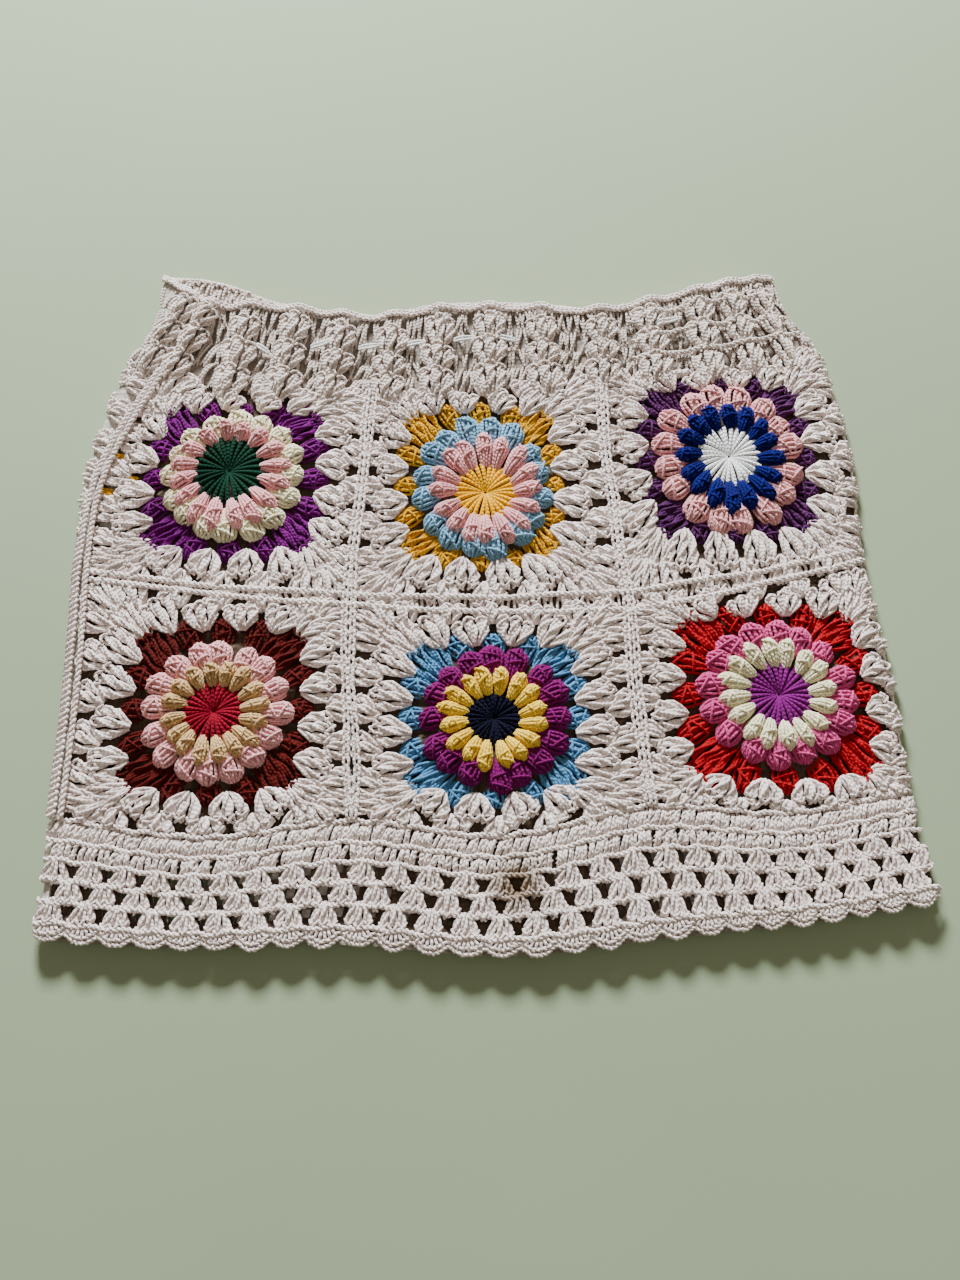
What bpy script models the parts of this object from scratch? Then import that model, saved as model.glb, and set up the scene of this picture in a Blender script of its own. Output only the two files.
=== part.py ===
"""Crochet skirt of twelve flower squares, lying flat with its front up.

Sizes are in millimetres and are written to the mesh in metres. X runs across the skirt, Y from the
hem to the waist, Z up from the surface the skirt lies on.
"""

import bmesh
import bpy
import math
from collections import namedtuple

MM = 0.001
# Moves the whole skirt so that its box is centred on the origin.
CENTRE_SHIFT = (0.89, -0.14)

WALL = 3.0
LAYER_GAP = 0.3
SEAM_GAP = 0.3
STACK = 2.0 * WALL + LAYER_GAP
FOLD_RADIUS = STACK / 2.0

HEM_EDGE = 0.0
SQUARES_BOTTOM = 65.0
LOWER_MIDDLE = 135.0
MIDDLE_SEAM = 205.0
UPPER_MIDDLE = 275.0
SQUARES_TOP = 345.0
ELASTIC_LINE = 380.0
RIM = 405.0

HEM_LIFT = 2.6
HEM_LIFT_LENGTH = 42.0
RIM_LIFT = 1.6
RIM_LIFT_LENGTH = 30.0

RIB_FADE = 62.0
RIB_TOP_Y = 185.0
RIB_LOW_Y = 120.0

PETALS = 16
PETAL_SHAPE = (0.0, 0.3, 0.7)
DISC_RADIUS = 12.0
HUB_RISE = 2.6
DISC_RISE = 3.8
FLOWER_RADIUS = 45.0
COLOUR_HALF = 54.0
COLOUR_TALL = 50.0
CLUSTER_RISE = 1.5
CLUSTER_SINK = 0.3
CORD_PART = 0.93
CORD_RISE = 0.7
EDGE_RISE = 0.2
HEM_CLUSTER_RISE = 0.9
# A ring round the flower: radius and height on the petals and in the dips between, and its turn in petals.
PetalRing = namedtuple("PetalRing", ("crest_radius", "dip_radius", "crest", "dip", "turn"))
PETAL_RINGS = (
    PetalRing(16.0, 15.0, 2.8, 1.8, 0.0),
    PetalRing(21.5, 20.0, 6.4, 3.0, 0.0),
    PetalRing(29.0, 27.0, 6.4, 3.0, 0.0),
    PetalRing(33.0, 30.5, 3.4, 2.2, 0.0),
    PetalRing(38.0, 36.0, 4.2, 1.6, 0.5),
    PetalRing(FLOWER_RADIUS, 42.0, 0.4, 0.2, 0.5),
)
# A round of groups: how many, its two edges as parts of the way from the coloured round to the panel's
# own edge, and the share of its space each group fills at those edges. The first starts at the flower.
Round = namedtuple("Round", ("count", "inner", "outer", "narrow", "wide"))
ROUNDS = (
    Round(16, -1.0, 0.0, 0.30, 0.72),
    Round(20, 0.10, 0.44, 0.26, 0.74),
    Round(24, 0.52, 0.86, 0.26, 0.70),
)
OPEN_SQUARE = "front_square_1"
OPEN_ROUND = 2
OPEN_GAPS = (19, 20, 21, 22)

HEM_PERIODS = 27
SCALLOP_DEPTH = 7.0

OFF_WHITE = (0.64, 0.60, 0.55)

# A cross line of the skirt: its distance from the hem, x at the left fold, the two column seams and the
# right fold, and y at even steps from the left fold to the right.
Level = namedtuple("Level", ("along", "fold_x", "y"))
LEVELS = (
    Level(HEM_EDGE, (-231, -70, 96, 242), (-209, -214, -212, -217.5, -209, -201, -190)),
    Level(SQUARES_BOTTOM, (-231.5, -69, 92, 234), (-144, -155, -146, -154, -138, -142, -130)),
    Level(LOWER_MIDDLE, (-233, -73, 88, 233), (-73, -83.5, -82, -87.5, -78, -77, -64)),
    Level(MIDDLE_SEAM, (-238, -76, 86, 226.5), (-2, -12, -18, -21, -18, -11, 4)),
    Level(UPPER_MIDDLE, (-242.5, -72, 79, 229), (69, 60, 54, 54, 59, 65, 79)),
    Level(SQUARES_TOP, (-227, -68, 77, 217), (147, 127, 125, 129, 137, 143, 160)),
    Level(ELASTIC_LINE, (-213, -67, 78, 202), (179, 162, 151, 164, 161, 179, 185)),
)
FRONT_RIM = Level(
    RIM,
    (-211, -66, 75, 194),
    (216, 193, 191, 186, 182.5, 188.7, 190, 189.3, 187.7, 193.8, 202, 210, 215),
)
BACK_RIM = Level(
    RIM,
    (-211, -66, 75, 194),
    (216, 211.5, 196.5, 186, 185, 193.3, 195, 193.7, 190, 195, 204, 214, 215),
)

# Width of the strip of the back squares that comes round the left fold, by the distance from the hem.
Strip = namedtuple("Strip", ("along", "width"))
LEFT_STRIP = (
    Strip(HEM_EDGE, 4.5),
    Strip(SQUARES_BOTTOM, 4.5),
    Strip(MIDDLE_SEAM, 4.5),
    Strip(240.0, 7.0),
    Strip(UPPER_MIDDLE, 12.0),
    Strip(310.0, 19.0),
    Strip(SQUARES_TOP, 25.0),
    Strip(ELASTIC_LINE, 22.0),
    Strip(RIM, 14.0),
)
RIGHT_UNDERLAP = 16.0

# A gathered rib of the waistband: x at the rim, x where the rib runs out below, height and half width.
Rib = namedtuple("Rib", ("rim_x", "low_x", "height", "half_width"))
RIBS = (
    Rib(-196, -224, 3.6, 11),
    Rib(-178, -204, 4.2, 11),
    Rib(-151, -161, 4.8, 14),
    Rib(-118, -127, 4.8, 14),
    Rib(-88, -95, 4.4, 13),
    Rib(-56, -60, 4.0, 13),
    Rib(-26, -28, 4.2, 13),
    Rib(6, 6, 4.6, 14),
    Rib(39, 41, 4.4, 14),
    Rib(78, 79, 4.6, 15),
    Rib(111, 114, 4.2, 14),
    Rib(143, 149, 4.0, 13),
    Rib(167, 180, 3.6, 12),
    Rib(186, 206, 2.8, 9),
)

# A front square: its column and row, and where its flower sits from the square's middle.
Square = namedtuple("Square", ("name", "column", "row", "dx", "dy"))
SQUARES = (
    Square("front_square_1", 0, 1, -3.0, 6.0),
    Square("front_square_2", 1, 1, 2.0, -1.0),
    Square("front_square_3", 2, 1, 2.0, 12.0),
    Square("front_square_4", 0, 0, 4.0, -3.0),
    Square("front_square_5", 1, 0, -1.0, -2.0),
    Square("front_square_6", 2, 0, 9.5, 1.0),
)
ROWS = ((SQUARES_BOTTOM, MIDDLE_SEAM), (MIDDLE_SEAM, SQUARES_TOP))
BACK_SEAMS = (0.0, 0.88, 1.86, 3.0)
# An open row of the hem band: the two edges of its holes and its shift along the row in periods.
OpenRow = namedtuple("OpenRow", ("low", "high", "shift"))
OPEN_ROWS = (OpenRow(37.5, 42.0, 0.35), OpenRow(26.5, 31.0, -0.15), OpenRow(15.5, 20.0, 0.35))
CHAIN_LINE = 54.0
SCALLOP_ROOT = 8.5
SIDE_STEPS = 11
TOP_STEPS = 14
HEM_STEPS = 30


class Solid:
    """Vertices and faces of one closed piece."""

    def __init__(self, name):
        self.name = name
        self.points = []
        self.faces = []

    def vertex(self, x, y, z):
        self.points.append(((x + CENTRE_SHIFT[0]) * MM, (y + CENTRE_SHIFT[1]) * MM, z * MM))
        return len(self.points) - 1

    def place(self, number):
        """x, y and z of a vertex, as they were given."""
        x, y, z = self.points[number]
        return x / MM - CENTRE_SHIFT[0], y / MM - CENTRE_SHIFT[1], z / MM

    def mean(self, numbers):
        """Middle of some vertices."""
        spots = [self.place(n) for n in numbers]
        return [sum(spot[axis] for spot in spots) / len(spots) for axis in range(3)]

    def face(self, *corners):
        kept = [c for k, c in enumerate(corners) if c != corners[k - 1]]
        if len(kept) > 2:
            self.faces.append(tuple(kept))


def smooth(value):
    """0 below 0, 1 above 1, eased between."""
    value = min(1.0, max(0.0, value))
    return value * value * (3.0 - 2.0 * value)


def curve(places, values, at):
    """A smooth curve through values at rising places."""
    k = 0
    while k < len(places) - 2 and at > places[k + 1]:
        k += 1
    step = places[k + 1] - places[k]
    part = (at - places[k]) / step

    def slope(n):
        low = max(0, n - 1)
        high = min(len(places) - 1, n + 1)
        return (values[high] - values[low]) / (places[high] - places[low])

    a = 2 * part**3 - 3 * part**2 + 1
    b = part**3 - 2 * part**2 + part
    c = 3 * part**2 - 2 * part**3
    d = part**3 - part**2
    return a * values[k] + b * step * slope(k) + c * values[k + 1] + d * step * slope(k + 1)


def across(level, u):
    """x and y of one cross line at u, from 0 at the left fold to 3 at the right fold."""
    x = curve((0, 1, 2, 3), level.fold_x, u)
    last = len(level.y) - 1
    y = curve([3.0 * k / last for k in range(last + 1)], level.y, u)
    return x, y


def plan(u, v, rim=FRONT_RIM):
    """x and y of the skirt at u across it and v along it."""
    lines = LEVELS + (rim,)
    places = [line.along for line in lines]
    spots = [across(line, u) for line in lines]
    x = curve(places, [spot[0] for spot in spots], v)
    y = curve(places, [spot[1] for spot in spots], v)
    return x, y


def u_at(x, v, rim=FRONT_RIM):
    """The u whose x is the given one, at v."""
    low = -0.2
    high = 3.2
    for _ in range(30):
        middle = (low + high) / 2.0
        if plan(middle, v, rim)[0] < x:
            low = middle
        else:
            high = middle
    return (low + high) / 2.0


def strip_width(v):
    return curve([row.along for row in LEFT_STRIP], [row.width for row in LEFT_STRIP], v)


def left_u(v, rim=FRONT_RIM):
    """u of the left seam, on top of the left fold."""
    return u_at(plan(0.0, v, rim)[0] + strip_width(v), v, rim)


def lift(v):
    """How far the free hem and the rim stand off the surface."""
    hem = HEM_LIFT * max(0.0, 1.0 - v / HEM_LIFT_LENGTH) ** 2
    rim = RIM_LIFT * max(0.0, 1.0 - (RIM - v) / RIM_LIFT_LENGTH) ** 2
    return hem + rim


def gather(x, y, v):
    """Height of the gathered ribs, running out into the upper squares."""
    strength = smooth((v - SQUARES_TOP + RIB_FADE) / (ELASTIC_LINE - SQUARES_TOP + RIB_FADE))
    part = (y - RIB_LOW_Y) / (RIB_TOP_Y - RIB_LOW_Y)
    part = min(1.2, max(-0.5, part))
    height = 0.0
    for rim_x, low_x, rise, half in RIBS:
        middle = low_x + part * (rim_x - low_x)
        away = abs(x - middle) / half
        if away < 1.0:
            height = max(height, rise * (0.5 + 0.5 * math.cos(math.pi * away)))
    return height * strength


def bridge(solid, lower, upper):
    """Triangles between two lines of (place, vertex) pairs, both in rising order of place."""
    i = 0
    j = 0
    while i < len(lower) - 1 or j < len(upper) - 1:
        last_i = i == len(lower) - 1
        last_j = j == len(upper) - 1
        if last_j or (not last_i and lower[i + 1][0] + lower[i][0] <= upper[j + 1][0] + upper[j][0]):
            solid.face(lower[i][1], lower[i + 1][1], upper[j][1])
            i += 1
        else:
            solid.face(lower[i][1], upper[j + 1][1], upper[j][1])
            j += 1


def ring(line):
    """Closes a line of (place, vertex) pairs round to its start, one side of the square per unit."""
    return line + [(line[0][0] + 4.0, line[0][1])]


def square_point(t):
    """Point of the unit square at t, counted from its lower left corner, one per side."""
    side = int(t) % 4
    part = t - int(t)
    along = 2.0 * part - 1.0
    return ((along, -1.0), (1.0, along), (-along, 1.0), (-1.0, -along))[side]


def finish(solid, colour=OFF_WHITE):
    """Makes the object of a solid, its faces turned outwards, with its own material."""
    mesh = bpy.data.meshes.new(solid.name)
    mesh.from_pydata(solid.points, [], solid.faces)
    body = bmesh.new()
    body.from_mesh(mesh)
    bmesh.ops.triangulate(body, faces=[f for f in body.faces if len(f.verts) > 3])
    bmesh.ops.recalc_face_normals(body, faces=body.faces)
    body.to_mesh(mesh)
    body.free()
    material = bpy.data.materials.new(solid.name + "_yarn")
    material.use_nodes = True
    shader = material.node_tree.nodes["Principled BSDF"]
    shader.inputs["Base Color"].default_value = (*colour, 1.0)
    shader.inputs["Roughness"].default_value = 0.9
    material.diffuse_color = (*colour, 1.0)
    mesh.materials.append(material)
    thing = bpy.data.objects.new(solid.name, mesh)
    bpy.context.scene.collection.objects.link(thing)
    return thing


def fold_profile(u_edge, inward, v, rim, top, width):
    """Points from one side of a fold round to the other, and back along the turned strip.

    top is true where the strip that comes round the fold lies on top.
    """
    edge, y = plan(u_edge, v, rim)
    base = lift(v)
    arc = []
    steps = 4
    for k in range(steps + 1):
        angle = math.pi * k / steps
        reach = FOLD_RADIUS * (1.0 - math.sin(angle))
        height = FOLD_RADIUS * (1.0 - math.cos(angle))
        if not top:
            height = STACK - height
        arc.append((edge + inward * reach, y, base + height))
    far = base + (STACK if top else 0.0)
    near = base + (STACK - WALL if top else WALL)
    end = edge + inward * width
    root = edge + inward * FOLD_RADIUS
    other = FRONT_RIM if top else BACK_RIM
    end_y = plan(u_at(end, v, other), v, other)[1]
    arc.append((end, end_y, far))
    arc.append((end, end_y, near))
    arc.append((root, y, near))
    return arc


def fold_side(solid, rows):
    """Skins a turned fold over its rows; each row starts and ends on a vertex of the panel's sides."""
    for lower, upper in zip(rows, rows[1:]):
        for k in range(len(lower) - 1):
            solid.face(lower[k], lower[k + 1], upper[k + 1], upper[k])
    for row in (rows[0], rows[-1]):
        cap(solid, row)


def cap(solid, row):
    """Closes the end of a turned fold: the round part, then the strip that lies over the layer."""
    start, arc, tail = row[0], row[1:5], row[5:8]
    solid.face(start, arc[0], arc[1])
    solid.face(start, arc[1], tail[2])
    solid.face(arc[1], arc[2], tail[2])
    solid.face(arc[2], arc[3], tail[2])
    solid.face(arc[3], tail[0], tail[1])
    solid.face(arc[3], tail[1], tail[2])
    solid.face(start, tail[2], row[8])


def fold_row(solid, start, end, profile):
    """Vertices of a fold profile between two vertices of the panel."""
    return [start] + [solid.vertex(*point) for point in profile[1:]] + [end]


def top_z(x, y, v):
    return lift(v) + STACK + gather(x, y, v)


def column_limits(column, v, rim=FRONT_RIM):
    """x at the two sides of a front column, seam gaps taken off; the right fold ends at its round."""
    gap = SEAM_GAP / 2.0
    if column == 0:
        left = plan(left_u(v, rim), v, rim)[0] + gap
    else:
        left = plan(float(column), v, rim)[0] + gap
    right = plan(column + 1.0, v, rim)[0] - (FOLD_RADIUS if column == 2 else gap)
    return left, right


def panel_point(limits, s, v, rim=FRONT_RIM):
    """x and y at the part s of the way across a panel."""
    left, right = limits(v, rim)
    x = left + s * (right - left)
    return x, plan(u_at(x, v, rim), v, rim)[1]


def square_sides(top_steps, side_steps):
    """Places round a square panel with its own number of steps on each side."""
    places = []
    for side, steps in enumerate((side_steps, side_steps, top_steps, side_steps)):
        places += [side + k / steps for k in range(steps)]
    return places


def front_square(name, column, row, dx, dy):
    """A square worked in rounds: flower of two petal rounds, a coloured round, two off-white rounds."""
    solid = Solid(name)
    v_low = ROWS[row][0] + SEAM_GAP / 2.0
    v_high = ROWS[row][1] - SEAM_GAP / 2.0
    middle = (v_low + v_high) / 2.0

    def limits(v, rim):
        return column_limits(column, v, rim)

    centre_x, centre_y = panel_point(limits, 0.5, middle)
    centre_x += dx
    centre_y += dy

    def v_of(y):
        part = (y - panel_point(limits, 0.5, v_low)[1]) / (v_high - v_low)
        return v_low + min(1.0, max(0.0, part)) * (v_high - v_low)

    def spot(x, y, rise):
        v = v_of(y)
        return solid.vertex(x, y, top_z(x, y, v) + rise)

    def boundary(t):
        p, q = square_point(t % 4.0)
        v = v_low + (v_high - v_low) * (q + 1.0) / 2.0
        x, y = panel_point(limits, (p + 1.0) / 2.0, v)
        return x, y, v

    def frame_point(t, part):
        """Between the coloured round's edge and the panel's own edge."""
        p, q = square_point(t % 4.0)
        soft = 1.0 - 0.09 * (p * q) ** 2
        inner_x = centre_x + COLOUR_HALF * p * soft
        inner_y = centre_y + COLOUR_TALL * q * soft
        x, y, _ = boundary(t)
        return inner_x + part * (x - inner_x), inner_y + part * (y - inner_y)

    hub = spot(centre_x, centre_y, HUB_RISE)

    def polar(part, radius, rise):
        angle = 2.0 * math.pi * part - 3.0 * math.pi / 4.0
        x = centre_x + radius * math.cos(angle)
        y = centre_y + radius * math.sin(angle)
        return 4.0 * part, spot(x, y, rise)

    lines = [[polar(k / PETALS, DISC_RADIUS, DISC_RISE) for k in range(PETALS)]]
    for petal in PETAL_RINGS:
        line = []
        for k in range(PETALS):
            for offset in PETAL_SHAPE:
                radius = petal.crest_radius if offset else petal.dip_radius
                rise = petal.crest if offset else petal.dip
                line.append(polar((k + offset + petal.turn) / PETALS, radius, rise))
        lines.append(line)
    first = ring(lines[0])
    for k in range(len(first) - 1):
        solid.face(hub, first[k][1], first[k + 1][1])
    previous = first
    for line in lines[1:]:
        current = ring(line)
        bridge(solid, previous, current)
        previous = current

    holes = []
    for number, (count, inner, outer, narrow, wide) in enumerate(ROUNDS):
        inner_line = []
        outer_line = []
        for k in range(count):
            for width, part, line in ((narrow, inner, inner_line), (wide, outer, outer_line)):
                for side in (-1.0, 1.0):
                    t = (k + side * width / 2.0) * 4.0 / count
                    if part < 0.0:
                        p, q = square_point(t % 4.0)
                        reach = (FLOWER_RADIUS + 1.5) / max(1.0, math.hypot(p, q))
                        x = centre_x + reach * p
                        y = centre_y + reach * q
                    else:
                        x, y = frame_point(t, part)
                    line.append((t, spot(x, y, -CLUSTER_SINK)))
        bridge(solid, previous, aligned(previous, inner_line))
        for k in range(count):
            a = inner_line[2 * k][1]
            b = inner_line[2 * k + 1][1]
            c = outer_line[2 * k + 1][1]
            d = outer_line[2 * k][1]
            x, y, z = solid.mean((a, b, c, d))
            peak = solid.vertex(x, y, z + CLUSTER_RISE)
            for one, two in ((a, b), (b, c), (c, d), (d, a)):
                solid.face(peak, one, two)
            after = (k + 1) % count
            gap = (b, inner_line[2 * after][1], outer_line[2 * after][1], c)
            if name == OPEN_SQUARE and number == OPEN_ROUND and k in OPEN_GAPS:
                holes.append(gap)
            else:
                solid.face(*gap)
        previous = ring(outer_line)

    cord = []
    edge = []
    places = square_sides(TOP_STEPS if row == 1 else SIDE_STEPS, SIDE_STEPS)
    for t in places:
        x, y = frame_point(t, CORD_PART)
        cord.append((t, spot(x, y, CORD_RISE)))
    for t in places:
        x, y, v = boundary(t)
        edge.append((t, solid.vertex(x, y, top_z(x, y, v) + EDGE_RISE)))
    bridge(solid, aligned(cord, previous[:-1]), ring(cord))
    bridge(solid, ring(cord), ring(edge))
    close_panel(solid, edge, places, boundary, column == 2, holes, centre_x, centre_y)
    return finish(solid)


def aligned(reference, line):
    """The closed line, started at the vertex nearest the reference's start."""
    start = reference[0][0]
    shifted = []
    for t, vertex in line:
        while t < start - 1e-6:
            t += 4.0
        while t >= start + 4.0 - 1e-6:
            t -= 4.0
        shifted.append((t, vertex))
    shifted.sort()
    return ring(shifted)


def close_panel(solid, edge, places, boundary, folded, holes, centre_x, centre_y):
    """Plain underside, side walls, holes and, on the right, the turned fold."""
    under = []
    for t in places:
        x, y, v = boundary(t)
        under.append((t, solid.vertex(x, y, lift(v) + WALL + LAYER_GAP)))
    middle = solid.vertex(centre_x, centre_y, WALL + LAYER_GAP)
    lower_line = ring(under)
    if holes:
        lows = []
        for gap in holes:
            low = []
            for corner in gap:
                x, y, _ = solid.place(corner)
                low.append(solid.vertex(x, y, WALL + LAYER_GAP))
            lows.append(low)
            for k in range(4):
                solid.face(gap[k], gap[(k + 1) % 4], low[(k + 1) % 4], low[k])
        inner = []
        outer = []
        for low in lows:
            inner += [low[0], low[1]]
            outer += [low[3], low[2]]
        for one, two in zip(lows, lows[1:]):
            solid.face(one[1], two[0], two[3], one[2])
        start = [k for k, (t, n) in enumerate(under) if abs(t - 3.0) < 1e-6][0]
        corner_low = under[start][1]
        corner_high = under[0][1]
        wall_line = [(t, n) for t, n in under if t >= 3.0 - 1e-6] + [(4.0, corner_high)]
        step = 1.0 / (len(outer) + 1)
        outer_line = [(3.0 + step * (k + 1), n) for k, n in enumerate(outer)]
        bridge(solid, outer_line, wall_line)
        solid.face(outer[0], inner[0], corner_low)
        solid.face(outer[-1], inner[-1], corner_high)
        loop = [n for t, n in under if t <= 3.0 + 1e-6] + inner
        for k in range(len(loop)):
            solid.face(middle, loop[k], loop[(k + 1) % len(loop)])
    else:
        for k in range(len(lower_line) - 1):
            solid.face(middle, lower_line[k][1], lower_line[k + 1][1])
    high_line = ring(edge)
    rows = []
    for k in range(len(high_line) - 1):
        on_fold = folded and 1.0 - 1e-6 <= high_line[k][0] and high_line[k + 1][0] <= 2.0 + 1e-6
        if not on_fold:
            solid.face(high_line[k][1], high_line[k + 1][1], lower_line[k + 1][1], lower_line[k][1])
    if folded:
        for k, t in enumerate(places):
            if 1.0 - 1e-6 <= t <= 2.0 + 1e-6:
                v = boundary(t)[2]
                profile = fold_profile(3.0, -1.0, v, FRONT_RIM, False, RIGHT_UNDERLAP)
                rows.append(fold_row(solid, edge[k][1], under[k][1], profile))
        fold_side(solid, rows)


def back_limits(column, v, rim):
    gap = SEAM_GAP / 2.0
    if column == 0:
        left = plan(0.0, v, rim)[0] + FOLD_RADIUS
    else:
        left = plan(BACK_SEAMS[column], v, rim)[0] + gap
    if column == 2:
        right = plan(3.0, v, rim)[0] - RIGHT_UNDERLAP - SEAM_GAP
    else:
        right = plan(BACK_SEAMS[column + 1], v, rim)[0] - gap
    return left, right


def sheet(solid, columns, rows, limits, rim, upper, lower):
    """Top and bottom grids of a panel and the walls at its ends; returns the two side edges."""
    tops = []
    bottoms = []
    for v in rows:
        top_row = []
        bottom_row = []
        for s in columns:
            x, y = panel_point(limits, s, v, rim)
            top_row.append(solid.vertex(x, y, upper(x, y, v)))
            bottom_row.append(solid.vertex(x, y, lower(x, y, v)))
        tops.append(top_row)
        bottoms.append(bottom_row)
    for grid in (tops, bottoms):
        for one, two in zip(grid, grid[1:]):
            for k in range(len(one) - 1):
                solid.face(one[k], one[k + 1], two[k + 1], two[k])
    for k in range(len(columns) - 1):
        solid.face(tops[0][k], tops[0][k + 1], bottoms[0][k + 1], bottoms[0][k])
        solid.face(tops[-1][k], tops[-1][k + 1], bottoms[-1][k + 1], bottoms[-1][k])
    return tops, bottoms


def straight_side(solid, tops, bottoms, index):
    for k in range(len(tops) - 1):
        solid.face(tops[k][index], tops[k + 1][index], bottoms[k + 1][index], bottoms[k][index])


def back_square(name, column, row):
    """A back square seen only at the left fold: plain inside, flat underneath."""
    solid = Solid(name)
    v_low = ROWS[row][0] + SEAM_GAP / 2.0
    v_high = ROWS[row][1] - SEAM_GAP / 2.0

    def limits(v, rim):
        return back_limits(column, v, rim)

    def boundary(t):
        p, q = square_point(t % 4.0)
        v = v_low + (v_high - v_low) * (q + 1.0) / 2.0
        x, y = panel_point(limits, (p + 1.0) / 2.0, v)
        return x, y, v

    places = square_sides(SIDE_STEPS, SIDE_STEPS)
    over = []
    under = []
    for t in places:
        x, y, v = boundary(t)
        over.append(solid.vertex(x, y, WALL))
        under.append(solid.vertex(x, y, 0.0))
    x, y = panel_point(limits, 0.5, (v_low + v_high) / 2.0)
    for line, height in ((over, WALL), (under, 0.0)):
        middle = solid.vertex(x, y, height)
        for k in range(len(line)):
            solid.face(middle, line[k - 1], line[k])
    turned = []
    for k, t in enumerate(places):
        if column == 0 and (t > 3.0 - 1e-6 or k == 0):
            v = boundary(t)[2]
            profile = fold_profile(0.0, 1.0, v, FRONT_RIM, True, strip_width(v) - SEAM_GAP / 2.0)
            turned.append(fold_row(solid, under[k], over[k], profile))
        if column > 0 or 0.0 < t <= 3.0 + 1e-6:
            solid.face(over[k - 1], over[k], under[k], under[k - 1])
    if turned:
        fold_side(solid, turned[1:] + turned[:1])
    return finish(solid)


def waistband(name, front):
    """The gathered band: its front rises in ribs, its back lies flat and shows above the front."""
    solid = Solid(name)
    rim = FRONT_RIM if front else BACK_RIM
    v_low = SQUARES_TOP + SEAM_GAP / 2.0
    rows = (v_low, 361.0, ELASTIC_LINE, 393.0, RIM)

    def limits(v, rim_line):
        if front:
            left = plan(left_u(v, rim_line), v, rim_line)[0] + SEAM_GAP / 2.0
            return left, plan(3.0, v, rim_line)[0] - FOLD_RADIUS
        left = plan(0.0, v, rim_line)[0] + FOLD_RADIUS
        return left, plan(3.0, v, rim_line)[0] - RIGHT_UNDERLAP - SEAM_GAP

    def wave(x, y, v):
        return gather(x, y, v) if front else 0.0

    def upper(x, y, v):
        dip = 0.5 if v == ELASTIC_LINE else 0.0
        return lift(v) + (STACK if front else WALL) + wave(x, y, v) - dip

    def lower(x, y, v):
        under = 0.6 * wave(x, y, v) if front else 0.0
        return lift(v) + (WALL + LAYER_GAP if front else 0.0) + under

    columns = [0.0]
    if front:
        left, right = limits(ELASTIC_LINE, rim)
        part = (plan(1.0, ELASTIC_LINE)[1] - RIB_LOW_Y) / (RIB_TOP_Y - RIB_LOW_Y)
        middles = [low_x + part * (rim_x - low_x) for rim_x, low_x, _, _ in RIBS]
        stops = []
        for k, middle in enumerate(middles):
            stops.append(middle)
            if k < len(middles) - 1:
                step = middles[k + 1] - middle
                stops += [middle + step * q for q in (0.27, 0.5, 0.73)]
        columns += [(x - left) / (right - left) for x in stops if left + 3.0 < x < right - 3.0]
    else:
        columns += [k / 24.0 for k in range(1, 24)]
    columns.append(1.0)
    tops, bottoms = sheet(solid, columns, rows, limits, rim, upper, lower)
    if front:
        straight_side(solid, tops, bottoms, 0)
        profiles = [fold_profile(3.0, -1.0, v, rim, False, RIGHT_UNDERLAP) for v in rows]
        turned = [fold_row(solid, tops[k][-1], bottoms[k][-1], profiles[k]) for k in range(len(rows))]
    else:
        straight_side(solid, tops, bottoms, -1)
        turned = []
        for k, v in enumerate(rows):
            profile = fold_profile(0.0, 1.0, v, rim, True, strip_width(v) - SEAM_GAP / 2.0)
            turned.append(fold_row(solid, bottoms[k][0], tops[k][0], profile))
    fold_side(solid, turned)
    return finish(solid)


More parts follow.
